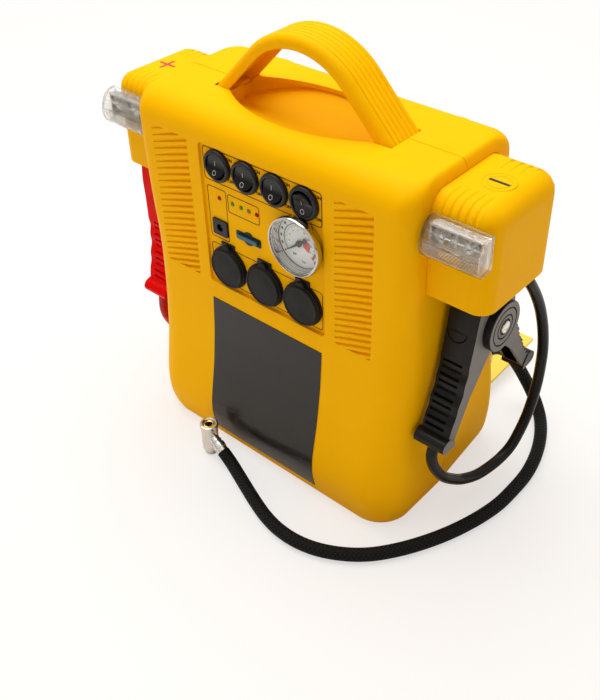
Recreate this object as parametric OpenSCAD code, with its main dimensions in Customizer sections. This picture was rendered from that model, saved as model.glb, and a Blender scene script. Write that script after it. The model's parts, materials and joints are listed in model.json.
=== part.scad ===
// Jump starter pack: a moulded case with carrying handle, control panel, two lamps,
// two holstered battery clamps, an air compressor with its hose, and the battery inside.
// Millimetres. +Z is up, the control panel faces -Y, the origin is on the floor under
// the middle of the case.

/* [Case] */
// Height of the case without the handle
case_h = 273; // [268:1:278]
// Half of the width of the case at the top
top_w = 117; // [116:0.5:118]
// Half of the width of the case near the floor
low_w = 119.5; // [118:0.5:121]
// Half of the depth of the case at the control panel
top_d = 56; // [55:0.5:57]
// Reach of the belly in front of the middle
belly_d = 70.2; // [69.8:0.1:70.6]
// Reach of the belly behind the middle, around the storage space
back_d = 75; // [74:0.5:76]
// Height of the widest part of the belly
belly_z = 28; // [27:0.5:29]
// Height where the belly runs into the upright walls
belly_top = 165; // [160:1:170]
// Radius of the upright corners at the top
top_r = 12.5; // [11:0.5:14]
// Radius of the front corners at the belly
belly_r = 29; // [26:1:30]
// Wall thickness at front, back, top and bottom
wall = 3; // [2.5:0.5:3.5]
// Wall thickness at the sides, which carry the holsters
side_wall = 9; // [8:0.5:10]

/* [Control panel] */
// Half of the width of the sunken panel
panel_w = 53.5; // [52:0.5:55]
// Lower edge of the panel
panel_z0 = 144; // [142:1:145]
// Upper edge of the panel
panel_z1 = 253; // [252:1:254]
// How far the panel is sunk into the case
panel_sink = 2; // [1.5:0.5:2.5]
// Spacing of the four round rocker switches
switch_pitch = 25; // [24:0.5:26]
// Height of the row of switches
switch_z = 240; // [239:1:241]
// Outer radius of a switch bezel
bezel_r = 11.5; // [11:0.25:12]
// Tilt of a rocker to either side
rocker_tilt = 9; // [6:1:10]
// Place of the air gauge across the panel
gauge_x = 33.4; // [33:0.2:34]
// Height of the air gauge
gauge_z = 209.5; // [209:0.5:210]
// Radius of the gauge rim
gauge_r = 20.5; // [20:0.25:20.5]
// Spacing of the three power sockets
socket_pitch = 34; // [34:0.5:35]
// Height of the row of power sockets
socket_z = 162; // [161:0.5:162]
// Bore radius of a power socket
socket_bore = 10.5; // [10.4:0.1:10.6]
// Depth of a power socket
socket_depth = 38; // [34:1:40]

/* [Handle] */
// Height of the top of the handle
handle_z = 323; // [318:1:326]
// Radius of the bend at the top of the handle
handle_r = 60; // [58:1:62]
// Half of the angle that the bend covers
handle_bend = 46; // [45:1:47]
// Front edge of the handle strap
handle_y0 = -17; // [-18:1:-16]
// Rear edge of the handle strap
handle_y1 = 13; // [12:1:14]

/* [Holsters] */
// Outer face of a holster
ear_x1 = 160; // [159:0.5:161]
// Front face of a holster
ear_y0 = -36; // [-37:0.5:-35]
// Rear face of a holster
ear_y1 = 39; // [39:0.5:40]
// Open lower end of a holster
ear_z0 = 197.5; // [196:0.5:198]
// Top of a holster
ear_z1 = 265.5; // [264:0.5:266]
// Radius of a holster's edge from its front to its top
ear_front = 12; // [10:1:13]
// Radius of a holster's edge from its top to its back
ear_back = 14; // [12:1:14]
// Wall of a holster
ear_wall = 2; // [1.8:0.1:2]

/* [Clamps] */
// Middle of a clamp, from the middle of the case
clamp_x = 133.5; // [133:0.25:134]
// Pivot of the right clamp, from front to back
pivot_y = 8.5; // [8:0.5:9]
// Pivot of the right clamp, height
pivot_z = 161.5; // [161:0.5:162]
// Pivot of the left clamp, from front to back
left_y = -8.8; // [-9:0.1:-8]
// Pivot of the left clamp, height
left_z = 174; // [173.5:0.5:174.5]
// How far the left clamp leans forward in its holster
left_tilt = 11; // [9:1:12]
// Width of a clamp lever
lever_w = 22; // [21.5:0.5:22]
// Reach of the outer pivot boss from the middle of the clamp
boss_out = 16.5; // [15.5:0.5:17]
// Reach of the inner pivot boss from the middle of the clamp
boss_in = 14.6; // [13.5:0.1:14.6]
// How far the rear lever stands open
lever_spread = 8; // [7:1:9]

/* [Storage door] */
// Half of the width of the door
door_w = 90; // [88:0.5:90]
// Lower edge of the door when it is shut
door_z0 = 18; // [18:0.5:19]
// Upper edge of the door when it is shut
door_z1 = 116; // [112:1:118]
// Thickness of the door
door_t = 2.6; // [2.4:0.1:2.8]

/* [Cords] */
// Diameter of a battery cable
cable_d = 8; // [7.5:0.25:8]
// Diameter of the air hose
hose_d = 10; // [9.5:0.25:10]

/* [Hidden] */
$fn = 48;
base_z = 0;
big = 400;
lens_z = 232.7;
front_round = 18;
side_round = 11;
side_in = 5;
under_d = 6.2;
under_w = 3.7;
foot_h = 14;
back_top = 145;
back_r = 12;
back_in = 5;
panel_y = -top_d + panel_sink;
ear_x0 = 114;
well_w = 64;
door_gap = 0.6;
hinge_y = 74.6;
hinge_z = 13.4;
hinge_r = 2.4;
door_open = 98.5;
zc = handle_z - handle_r;
lug_w = 18;
lug_l = 8;
gland_y = 44;
gland_z = 182;
gland_r = 7.5;
gland_x = 121.5;
hose_x = 101;
hose_z = 70;

// Heights at which the outline of the case is drawn
LEVELS = [base_z, 1.5, 4, 9, 14, 20, 28, 36, 46, 56, 66, 76, 88, 102, 118, 130, 150, 165, 190, 225,
          255, 259, 262, 264.5, 267, 269.5, 271.5, 272.6, 273];

// Share of the belly's bulge left at a share of the way from the widest part to the upright wall
BELLY = [[0, 1], [0.06, 0.97], [0.13, 0.86], [0.2, 0.73], [0.28, 0.58], [0.35, 0.465], [0.44, 0.345],
         [0.54, 0.225], [0.66, 0.135], [0.77, 0.065], [0.89, 0.015], [1, 0]];

// Share of the way from the radius at the belly to the radius at the top, by height
CORNER = [[0, 0.24], [20, 0.08], [33, 0], [68, 0.1], [93, 0.23], [142, 0.45], [167, 0.6], [183, 0.75],
          [208, 0.9], [240, 1]];

// Route of a battery cable behind its first bend, to the gland on the case
CABLE_ROUTE = [[133.5, -40, 72], [133.9, -38, 62.5], [134.7, -33, 52.3], [136.2, -25.6, 41.5],
    [138.3, -16.5, 33.3], [140.4, -7.4, 27.2], [143, 7.3, 21], [145.3, 21.9, 19.5], [147, 35.5, 20.5],
    [148.3, 46.5, 25], [149, 55, 34], [149.2, 62.5, 44.5], [149, 68.2, 56.5], [148.3, 73.2, 69.5],
    [147.4, 76.1, 83.5], [146.6, 77, 97.5], [145.6, 75.6, 112], [144.6, 72.2, 126.5], [143.2, 67, 142],
    [141.6, 59.6, 157], [140.2, 51.8, 169.2], [138.1, 48.6, 174.3], [134.1, 46.2, 178.4],
    [128.7, 44.6, 181.1], [gland_x + 1.3, gland_y, gland_z], [gland_x, gland_y, gland_z]];

// Route of the air hose, from the fitting at the back to the air chuck in front
HOSE_ROUTE = [[101, 77, 70], [101, 83.5, 70], [101.8, 92, 66.5], [103.6, 100, 61], [106.5, 107, 52.5],
    [111, 112.5, 41.5], [117, 116, 29.5], [124.5, 117, 18], [133, 113.5, 9.5], [142, 104.5, 5.5],
    [150, 91.5, 5], [156.5, 77, 5], [161.5, 61, 5], [164.5, 44, 5], [165.5, 26, 5], [164.5, 8, 5],
    [161.5, -9, 5], [157, -25, 5], [151.5, -40, 5], [144, -56, 5], [134, -73, 5], [122, -88.5, 5],
    [108.5, -100, 5], [92, -109, 5], [75, -114, 5], [58, -114.5, 5], [42, -111, 5], [26, -105.5, 5],
    [10, -99, 5], [-4.5, -93, 5.2], [-15.8, -89, 6.8], [-24.5, -87.6, 11]];

// ---------------------------------------------------------------- outline of the case

// Quarter-round run of a wall: 0 where it starts, 1 at its end
function round_in(t) = 1 - sqrt(max(0, 1 - t * t));

// Drawing-in of the case at its top edge, in front and behind
function top_edge(z) = front_round * round_in((z - case_h + front_round) / front_round);

// Reach of the case in front of the middle at height z
function front_at(z) =
    z > case_h - front_round ? top_d - top_edge(z)
    : z > belly_z ? top_d + (belly_d - top_d) * lookup((z - belly_z) / (belly_top - belly_z), BELLY)
    : belly_d - under_d * pow((belly_z - z) / belly_z, 1.7);

// Reach of the case behind the middle at height z
function back_at(z) =
    z > case_h - front_round ? top_d - top_edge(z)
    : z > back_top ? top_d
    : z > belly_z ? top_d + (back_d - top_d) * (1 + cos(180 * (z - belly_z) / (back_top - belly_z))) / 2
    : back_d - under_d * pow((belly_z - z) / belly_z, 1.7);

// Half of the width of the case at height z
function half_w(z) =
    z > case_h - side_round ? top_w - side_in * round_in((z - case_h + side_round) / side_round)
    : z > foot_h ? top_w + (low_w - top_w) * (1 + cos(180 * max(0, min(1, (z - 30) / 220)))) / 2
    : low_w - under_w * pow((foot_h - z) / foot_h, 1.8);

// Radius of the front corners at height z
function corner(z) = belly_r + (top_r - belly_r) * lookup(z, CORNER);

// Drawing-in of the rear corners at height z
function back_taper(z) = back_in * max(0, 1 - z / 190);

// Points of a quarter of a circle about a centre, from an angle on
function quarter(x, y, r, from, z) = [for (k = [0:7]) let (a = from + 90 * k / 7)
    [x + r * cos(a), y + r * sin(a), z]];

// One level of the case at height z of the outside, drawn in by distances and set at height at
function level(z, at, in_w = 0, in_d = 0, in_r = 0) =
    let (w = half_w(z) - in_w, f = front_at(z) - in_d, b = back_at(z) - in_d, wb = w - back_taper(z),
        r = corner(z) - in_r, rb = back_r - in_r)
    concat([[w, 0, at]], quarter(wb - rb, b - rb, rb, 0, at), quarter(rb - wb, b - rb, rb, 90, at),
        [[-w, 0, at]], quarter(r - w, r - f, r, 180, at), quarter(w - r, r - f, r, 270, at));

// Closed skin through rings that all have the same number of points
module skin(rings) {
    n = len(rings[0]);
    m = len(rings);
    polyhedron(
        points = [for (ring = rings) each ring],
        faces = [
            [for (i = [0:n - 1]) i],
            [for (i = [0:n - 1]) m * n - 1 - i],
            for (j = [0:m - 2], i = [0:n - 1]) let (k = (i + 1) % n)
                each [[j * n + i, (j + 1) * n + i, (j + 1) * n + k],
                      [j * n + i, (j + 1) * n + k, j * n + k]]]);
}

module case_outer() {
    skin([for (z = LEVELS) level(z, z)]);
}

module case_inner() {
    shrink = (case_h - base_z - 2 * wall) / (case_h - base_z);
    skin([for (z = LEVELS) level(z, base_z + wall + (z - base_z) * shrink, side_wall, wall, 8)]);
}

// Rectangle with round corners, centred
module round_rect(w, h, r) {
    square([w - 2 * r, h], center = true);
    square([w, h - 2 * r], center = true);
    for (x = [-1, 1], y = [-1, 1]) translate([x * (w / 2 - r), y * (h / 2 - r)]) circle(r);
}

// Puts a flat shape drawn in X and Z on the plane y, and gives it the depth d towards +Y
module from_front(y, d) {
    translate([0, y + d, 0]) rotate([90, 0, 0]) linear_extrude(d) children();
}

// Puts a flat shape drawn in Y and Z on the plane x, and gives it the width w towards +X
module from_side(x, w) {
    translate([x, 0, 0]) rotate([90, 0, 90]) linear_extrude(w) children();
}

// Cylinder along Y from y0 to y1
module rod_y(x, z, r, y0, y1) {
    translate([x, y1, z]) rotate([90, 0, 0]) cylinder(r = r, h = y1 - y0);
}

// Cylinder along X from x0 to x1
module rod_x(y, z, r, x0, x1) {
    translate([x0, y, z]) rotate([0, 90, 0]) cylinder(r = r, h = x1 - x0);
}

// Draws its children on the right, or mirrored on the left
module on_side(side) {
    if (side > 0) children();
    else mirror([1, 0, 0]) children();
}

// ---------------------------------------------------------------- handle and finger well

// Section of the handle strap: distance from the bend's centre across, depth along
module strap_section(solid = false, grow = 0) {
    t = 9;
    difference() {
        translate([handle_r - t - grow, -handle_y1 - grow])
            square([t + 2 * grow, handle_y1 - handle_y0 + 2 * grow]);
        if (!solid) {
            translate([handle_r - t - 1, -handle_y1 + 3])
                square([t - 2.5, handle_y1 - handle_y0 - 6]);
            for (k = [-2:2]) translate([handle_r, -(handle_y0 + handle_y1) / 2 + 5 * k])
                circle(r = 0.9, $fn = 16);
        }
    }
}

// The strap's bend and its two straight legs, down to the foot inside the case
module strap(solid = false, grow = 0, leg = 58) {
    translate([0, 0, zc]) {
        rotate([90, 0, 0]) rotate([0, 0, 90 - handle_bend])
            rotate_extrude(angle = 2 * handle_bend) strap_section(solid, grow);
        for (side = [-1, 1]) on_side(side)
            rotate([0, handle_bend + 90, 0]) translate([0, 0, -0.5]) linear_extrude(leg + 0.5)
                rotate([0, 0, 180]) strap_section(solid, grow);
    }
}

// Outline of the finger well, seen from above
module well_plan(grow = 0) {
    intersection() {
        translate([0, 68]) circle(r = 104 + grow, $fn = 96);
        translate([0, -96.8]) circle(r = 122.8 + grow, $fn = 96);
        square([2 * (well_w + grow), 200], center = true);
    }
}

// Side view of the finger well's floor, dropped by a distance
module well_side(drop = 0) {
    polygon([for (t = [0:0.1:1]) [-38 + 66 * t, 273 - 20 * sin(90 * t) - drop], [34, 253 - drop],
        [34, 290], [-44, 290], [-44, 273 - drop]]);
}

module well_space(grow = 0, drop = 0) {
    intersection() {
        translate([0, 0, 240]) linear_extrude(60) well_plan(grow);
        from_side(-80, 160) well_side(drop);
    }
}

// ---------------------------------------------------------------- case shells

// Slanted slats pressed into the front beside the panel; each runs out at its left end
module vent_grooves() {
    groove_pitch = 5.05;
    groove_r = 1.8;
    groove_turn = 2.4;
    for (field = [[-97, -64], [62, 92]])
        intersection() {
            translate([field[0], -top_d - 5, 144]) cube([field[1] - field[0], 10, 108]);
            for (k = [0:24])
                translate([(field[0] + field[1]) / 2, -top_d - 0.9, 139 + groove_pitch * k])
                    rotate([0, -18, 0]) rotate([0, 0, groove_turn]) rod_x(0, 0, groove_r, -24, 24);
        }
}

// Side outline of a holster, drawn in by t
module ear_side(t = 0) {
    y0 = ear_y0 + t;
    y1 = ear_y1 - t;
    z0 = ear_z0 - abs(t);
    z1 = ear_z1 - t;
    rf = ear_front - t;
    rb = ear_back - t;
    difference() {
        translate([y0, z0]) square([y1 - y0, z1 - z0]);
        translate([y0 + rf, z1 - rf]) difference() {
            translate([-rf - 1, 0]) square(rf + 1);
            circle(rf);
        }
        translate([y1 - rb, z1 - rb]) difference() {
            square(rb + 1);
            circle(rb);
        }
    }
}

// Seat of a holster on the side of the case
module ear_seat() {
    from_side(ear_x0 - 0.2, 20) ear_side(-0.3);
}

// Everything that is cut out of both shells
module shared_cuts() {
    for (side = [-1, 1]) on_side(side) ear_seat();
    strap(solid = true, grow = 0.3);
    well_space();
}

module shell_half(front) {
    intersection() {
        difference() {
            case_outer();
            case_inner();
            shared_cuts();
        }
        translate([-big / 2, front ? -big / 2 : 0, 0]) cube([big, big / 2, big]);
    }
}

module front_shell() color("gold") {
    panel_mid = (panel_z0 + panel_z1) / 2;
    panel_h = panel_z1 - panel_z0;
    difference() {
        union() {
            shell_half(true);
            translate([-56, panel_y - 0.5, panel_z0 - 2]) cube([112, 3.5, panel_h + 4]);
            // Lug that locates the shells on each other at the bottom
            translate([-lug_w, -1, base_z]) cube([2 * lug_w, lug_l + 1, wall]);
        }
        translate([0, 0, panel_mid]) from_front(-top_d - 4, 4 + panel_sink)
            round_rect(2 * panel_w, panel_h, 3);
        vent_grooves();
        for (k = [-1.5:1.5]) rod_y(k * switch_pitch, switch_z, 10.2, -60, -48);
        for (k = [-1:1]) rod_y(k * socket_pitch, socket_z, 13.2, -60, -48);
        rod_y(gauge_x, gauge_z, 18.3, -60, -48);
        translate([-40, 0, 192]) from_front(-60, 12) round_rect(11.4, 10.4, 1);
        translate([-13.8, 0, 193]) from_front(-60, 12) round_rect(20.4, 4.9, 1);
        for (x = [-39.2, -27, -19.1, -12.1, -4.9]) rod_y(x, 215, 1.7, -60, -48);
    }
    // Floor and end walls of the finger well, which reach back under the rear shell
    difference() {
        intersection() {
            well_space(grow = 2.5, drop = 2.5);
            union() {
                translate([-80, -45, 240]) cube([160, 45, case_h - 1 - 240]);
                translate([-80, -1, 240]) cube([160, 45, case_h - wall - 0.3 - 240]);
            }
        }
        well_space(drop = 0);
        strap(solid = true, grow = 0.3);
    }
}

module rear_shell() color("gold") {
    knuckles = [[-76, -62], [-7, 7], [62, 76]];
    difference() {
        union() {
            shell_half(false);
            // Upright ribs on the back
            for (side = [-1, 1]) intersection() {
                translate([side * 76.3, 47, 0]) rotate_extrude() polygon([[0, 98], [15, 98],
                    for (a = [0:15:90]) [7 + 8 * cos(a), 258 + 8 * sin(a)], [0, 266]]);
                difference() {
                    translate([side * 76.3 - 20, top_d - wall + 0.5, 90]) cube([40, 40, 200]);
                    case_inner();
                }
            }
            for (k = knuckles) {
                rod_x(hinge_y, hinge_z, hinge_r, k[0], k[1]);
                translate([k[0], hinge_y - 5, hinge_z - hinge_r]) cube([k[1] - k[0], 5, hinge_r]);
            }
        }
        translate([-lug_w - 0.2, -1, -1]) cube([2 * lug_w + 0.4, lug_l + 1.2, wall + 1.2]);
        // Doorway of the storage space
        translate([-door_w - door_gap, 40, door_z0 - door_gap])
            cube([2 * (door_w + door_gap), 60, door_z1 - door_z0 + 2 * door_gap]);
        rod_x(hinge_y, hinge_z, 1.3, -big / 2, big / 2);
        // Room for the knuckles of the door
        for (side = [-1, 1]) rod_x(hinge_y, hinge_z, hinge_r + 0.6, side * 53 - 8.6, side * 53 + 8.6);
        rod_y(hose_x, hose_z, 7.2, 40, 90);
        for (side = [-1, 1]) on_side(side) rod_x(gland_y, gland_z, gland_r + 0.3, 90, 130);
        for (x = [-40, 40], z = [134, 250]) {
            rod_y(x, z, 4.6, top_d - 1.5, 90);
            rod_y(x, z, 2.2, 40, 90);
        }
        // Room for the walls of the finger well
        intersection() {
            well_space(grow = 2.8, drop = 2.8);
            translate([-80, -1, 240]) cube([160, 80, case_h - wall - 240]);
        }
    }
}

module shell_screws() color("silver") {
    for (x = [-40, 40], z = [134, 250]) difference() {
        union() {
            rod_y(x, z, 4, top_d - 1.5, top_d + 1);
            rod_y(x, z, 2, 36, top_d - 1.5);
        }
        translate([x - 3, top_d, z - 0.6]) cube([6, 2, 1.2]);
        translate([x - 0.6, top_d, z - 3]) cube([1.2, 2, 6]);
    }
}

module front_label() color("#3a3a3a") {
    label_t = 0.5;
    zs = [for (z = LEVELS) if (z >= 9 && z <= 130) z];
    from_side(-51.5, 103) polygon([
        for (z = zs) [-front_at(z), z],
        for (k = [len(zs) - 1:-1:0]) [-front_at(zs[k]) - label_t, zs[k]]]);
}

module carry_handle() color("gold") {
    intersection() {
        strap();
        translate([-big / 2, -big / 2, 264]) cube([big, big, big]);
    }
    // Flanges that hold the handle under the top of the case
    for (side = [-1, 1]) on_side(side)
        translate([67.2, handle_y0 - 2, 266.5]) cube([21.8, handle_y1 - handle_y0 + 4, 3.2]);
}

// ---------------------------------------------------------------- holsters and lamps

// Square with its outer corner rounded, to be cut from the corner of a block
module corner_cut(r, front) {
    difference() {
        translate([0, front ? -r - 1 : 0]) square(r + 1);
        circle(r);
    }
}

// Solid block of a holster with its soft edges, drawn in by t
module ear_block(t = 0) {
    top_edge_r = 12 - t;
    front_edge_r = 10 - t;
    back_edge_r = 14 - t;
    x0 = ear_x0 + t;
    x1 = ear_x1 - t;
    y0 = ear_y0 + t;
    y1 = ear_y1 - t;
    z0 = ear_z0 - t;
    z1 = ear_z1 - t;
    intersection() {
        from_side(x0, x1 - x0) ear_side(t);
        from_front(y0, y1 - y0) difference() {
            translate([x0, z0]) square([x1 - x0, z1 - z0]);
            translate([x1 - top_edge_r, z1 - top_edge_r]) corner_cut(top_edge_r, false);
        }
        translate([0, 0, z0]) linear_extrude(z1 - z0) difference() {
            translate([x0, y0]) square([x1 - x0, y1 - y0]);
            translate([x1 - front_edge_r, y0 + front_edge_r]) corner_cut(front_edge_r, true);
            translate([x1 - back_edge_r, y1 - back_edge_r]) corner_cut(back_edge_r, false);
        }
    }
}

module holster(side) color("gold") on_side(side) {
    ear_mid = 138;
    difference() {
        ear_block();
        // Inside, open below for the jaws of the clamp, with two ribs that guide them
        difference() {
            ear_block(ear_wall);
            for (x = [ear_x0, clamp_x + lever_w / 2 + 0.4]) translate([x, -8, ear_z0 + 8])
                cube([x < clamp_x ? clamp_x - lever_w / 2 - 0.4 - x : 30, 3, 40]);
        }
        // Grip lines on the top
        for (k = [-1.5:1.5]) translate([ear_mid + 7 * k, 20, ear_z1]) rotate([-90, 0, 0])
            cylinder(r = 0.8, h = 16, $fn = 16);
    }
}

// Outline of a lamp lens seen from the side, drawn in by a wall
module lens_side(t = 0) {
    polygon([[ear_y0 - 0.2, lens_z + t], [ear_y0 - 11 + t * 0.6, lens_z + t], [ear_y0 - 12.8 + t, lens_z + 3.6],
        [ear_y0 - 13.5 + t, lens_z + 8], [ear_y0 - 12.8 + t, lens_z + 12.5], [ear_y0 - 11.2 + t, lens_z + 16.5],
        [ear_y0 - 8.6 + t * 0.8, lens_z + 20.2 - t * 0.6], [ear_y0 - 5.4, lens_z + 22.5 - t],
        [ear_y0 - 0.2, lens_z + 23 - t]]);
}

module lamp_lens(side) color([0.9, 0.95, 1, 0.5]) on_side(side) {
    difference() {
        from_side(119, ear_x1 - 119) lens_side();
        from_side(120.6, ear_x1 - 122.2) lens_side(1.6);
    }
}

module lamp_reflectors() color("silver") {
    for (side = [-1, 1]) on_side(side) difference() {
        translate([121.6, ear_y0 - 6.4, 235.6]) cube([35.8, 6, 15.4]);
        translate([139.5, ear_y0 - 9, 243.4]) scale([1.55, 1, 0.72]) sphere(r = 9.5, $fn = 24);
    }
}

module lamp_bulbs() color("lightyellow") {
    for (side = [-1, 1]) on_side(side) {
        rod_x(ear_y0 - 5.4, 243.4, 1.6, 133, 146);
    }
}

// ---------------------------------------------------------------- control panel parts

module switch_bodies() color("#1c1c1c") {
    for (k = [-1.5:1.5]) difference() {
        union() {
            rod_y(k * switch_pitch, switch_z, bezel_r, panel_y - 3.2, panel_y);
            rod_y(k * switch_pitch, switch_z, 10, panel_y, panel_y + 16);
        }
        rod_y(k * switch_pitch, switch_z, 8.6, panel_y - 10, panel_y + 10);
    }
}

// Round rocker with a shallow dip across its middle; tilted about a bar along X
module rocker(k, tilt) color("#262626") {
    rocker_y = panel_y + 2;
    translate([(k - 2.5) * switch_pitch, rocker_y, switch_z]) rotate([tilt, 0, 0]) {
        intersection() {
            rod_y(0, 0, 7.3, -10, 5);
            from_side(-10, 20) polygon([[-6.6, -9], [-4.4, 0], [-6.6, 9], [3, 9], [3, -9]]);
        }
        // Trunnions that the rocker tilts on
        rod_x(0, 0, 1.2, -8.3, 8.3);
    }
}

module gauge_case() color("silver") {
    difference() {
        union() {
            rod_y(gauge_x, gauge_z, gauge_r, panel_y - 9, panel_y - 3.6);
            rod_y(gauge_x, gauge_z, 18.9, panel_y - 3.6, panel_y);
            rod_y(gauge_x, gauge_z, 18, panel_y, panel_y + 20);
            rod_y(gauge_x, gauge_z, 5, panel_y + 20, panel_y + 28);
        }
        rod_y(gauge_x, gauge_z, 18.2, panel_y - 20, panel_y - 3);
    }
}

module gauge_dial() color("white") {
    difference() {
        rod_y(gauge_x, gauge_z, 18, panel_y - 4, panel_y - 3);
        rod_y(gauge_x, gauge_z, 1.3, panel_y - 6, panel_y);
    }
}

module gauge_needle() color("#404040") {
    needle_rest = 218;
    translate([gauge_x, 0, gauge_z]) rotate([0, -needle_rest, 0]) {
        from_front(panel_y - 5.4, 0.6) polygon([[-5, -0.8], [14, -0.3], [14, 0.3], [-5, 0.8]]);
        rod_y(0, 0, 2, panel_y - 5.6, panel_y - 4.4);
        rod_y(0, 0, 0.9, panel_y - 4.4, panel_y - 3.2);
    }
}

module gauge_glass() color([0.9, 0.95, 1, 0.4]) {
    rod_y(gauge_x, gauge_z, 18, panel_y - 8.2, panel_y - 7);
}

module charge_jack() color("#202020") {
    difference() {
        union() {
            translate([-40, 0, 192]) from_front(panel_y - 1.4, 1.4) round_rect(13.6, 12.4, 1);
            translate([-40, 0, 192]) from_front(panel_y, 12) round_rect(11, 10, 1);
        }
        rod_y(-40, 192, 2.8, panel_y - 4, panel_y + 9);
    }
    rod_y(-40, 192, 1, panel_y, panel_y + 10);
}

module fuse_socket() color("#203038") {
    translate([-13.8, 0, 193]) difference() {
        union() {
            from_front(panel_y - 0.6, 0.6) {
                round_rect(22.6, 6.4, 1.4);
                circle(r = 5, $fn = 32);
            }
            from_front(panel_y, 14) round_rect(20, 4.5, 1);
        }
        from_front(panel_y - 2, 12) round_rect(18.9, 3.4, 0.6);
    }
}

module blade_fuse() color("#1f7f9f") {
    translate([-13.8, 0, 193]) {
        from_front(panel_y - 2.4, 6.4) round_rect(18.3, 2.8, 0.4);
        for (x = [-6, 6]) translate([x - 2.5, panel_y + 4, -0.4]) cube([5, 5.6, 0.8]);
    }
}

module panel_light(x) {
    rod_y(x, 215, 1.5, panel_y - 0.6, panel_y + 6);
    rod_y(x, 215, 1.9, panel_y + 3.2, panel_y + 7);
}

module lights_green() color("green") for (x = [-27, -19.1]) panel_light(x);
module light_amber() color("orange") panel_light(-12.1);
module lights_red() color("red") for (x = [-39.2, -4.9]) panel_light(x);

module power_sockets() color("#2a2a2a") {
    for (k = [-1:1]) translate([k * socket_pitch, 0, socket_z]) {
        difference() {
            union() {
                rod_y(0, 0, 16.2, panel_y - 1.6, panel_y);
                rod_y(0, 0, 13, panel_y, panel_y + socket_depth);
                translate([-6, panel_y - 1.4, 12]) cube([12, 1.4, 7.2]);
            }
            rod_y(0, 0, socket_bore, panel_y - 10, panel_y + socket_depth - 4);
        }
        rod_y(0, 0, 2, panel_y + socket_depth - 9, panel_y + socket_depth - 3);
    }
}

// Rubber cap of a power socket, on a strap hinge above it
module socket_cap(k) color("#1a1a1a") {
    lid_y = panel_y - 1.9;
    translate([(k - 2) * socket_pitch, 0, socket_z]) difference() {
        union() {
            rod_y(0, 0, 15.8, lid_y - 2.6, lid_y);
            rod_y(0, 0, 14.6, lid_y - 3.2, lid_y - 2.6);
            rod_y(0, 0, 8.6, lid_y, lid_y + 2.6);
            translate([-5, lid_y - 2.1, 14]) cube([10, 1.8, 4]);
            rod_x(lid_y - 1.2, 18, 1.2, -5, 5);
        }
        difference() {
            rod_y(0, 0, 13.4, lid_y - 9, lid_y - 2.8);
            rod_y(0, 0, 12.8, lid_y - 9, lid_y - 2.8);
        }
    }
}

// ---------------------------------------------------------------- inside the case

module battery() color("#30343a") {
    translate([-75.5, -54, base_z + wall + 0.5]) difference() {
        cube([151, 93.8, 92]);
        // Joint line of the lid
        difference() {
            translate([-1, -1, 84]) cube([153, 96, 1]);
            translate([0.8, 0.8, 83]) cube([149.4, 92.2, 3]);
        }
    }
}

module battery_terminals() color("#b08d3c") {
    for (x = [-62, 62]) translate([x, -40, base_z + wall + 92.5]) difference() {
        translate([-6, -6, 0]) cube([12, 12, 8]);
        translate([0, 0, 4]) rotate([0, 90, 0]) cylinder(r = 2.6, h = 30, center = true);
    }
}

module battery_strap() color("#444444") {
    y0 = -55.8;
    y1 = 41.6;
    thick = 1.5;
    translate([-10, y0, base_z + wall + 92.8]) cube([20, y1 - y0, thick]);
    for (y = [y0, y1 - thick]) translate([-10, y, base_z + wall + 30]) cube([20, thick, 63]);
}

module compressor_motor() color("#8c8f94") {
    rod_x(22, 150, 19, -86, -30);
    rod_x(22, 150, 4, -30, -22);
    rod_x(22, 150, 7, -92, -86);
}

module compressor_head() color("#b9bcc0") {
    difference() {
        union() {
            translate([-22, 8, 132]) cube([22, 28, 30]);
            translate([-11, 22, 162]) cylinder(r = 15, h = 34);
            for (k = [0:5]) translate([-11, 22, 165 + 5 * k]) cylinder(r = 18, h = 2);
            translate([-11, 22, 196]) cylinder(r = 11, h = 8);
        }
        translate([-30, 22, 150]) rotate([0, 90, 0]) cylinder(r = 4.4, h = 12);
    }
}

module compressor_pipe() color("#33373b") {
    tube([[0.2, 22, 200], [12, 22, 200], [34, 23, 195], [56, 26, 181], [74, 30, 160], [87, 34, 136],
        [95, 37, 112], [99.5, 40, 92], [hose_x, 44, 77], [hose_x, 50, 70.4], [hose_x, 55.8, hose_z]], 3, 8);
}

module circuit_board() color("#1f6b3a") {
    translate([-48, -34, 186]) cube([60, 1.6, 60]);
    for (x = [-40, -20]) translate([x, -32.4, 196]) cube([12, 14, 18]);
    rod_y(6, 215, 5, -32.4, -14);
}

// ---------------------------------------------------------------- storage and rear door

// Outline of the rear wall between two heights, drawn in by two distances
function rear_run(z0, z1, inset) = [for (k = [0:10]) let (z = z0 + (z1 - z0) * k / 10)
    [back_at(z) - inset, z]];

module storage_tray() color("#d8a800") {
    z0 = door_z0 - door_gap - 2.4;
    z1 = door_z1 + door_gap + 2.4;
    outer = door_w + door_gap + 2.4;
    difference() {
        from_side(-outer, 2 * outer) polygon([[42, z0], each rear_run(z0, z1, wall + 1.6), [42, z1]]);
        translate([-outer + 2.2, 44, z0 + 2.2]) cube([2 * outer - 4.4, 60, z1 - z0 - 4.4]);
    }
}

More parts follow.
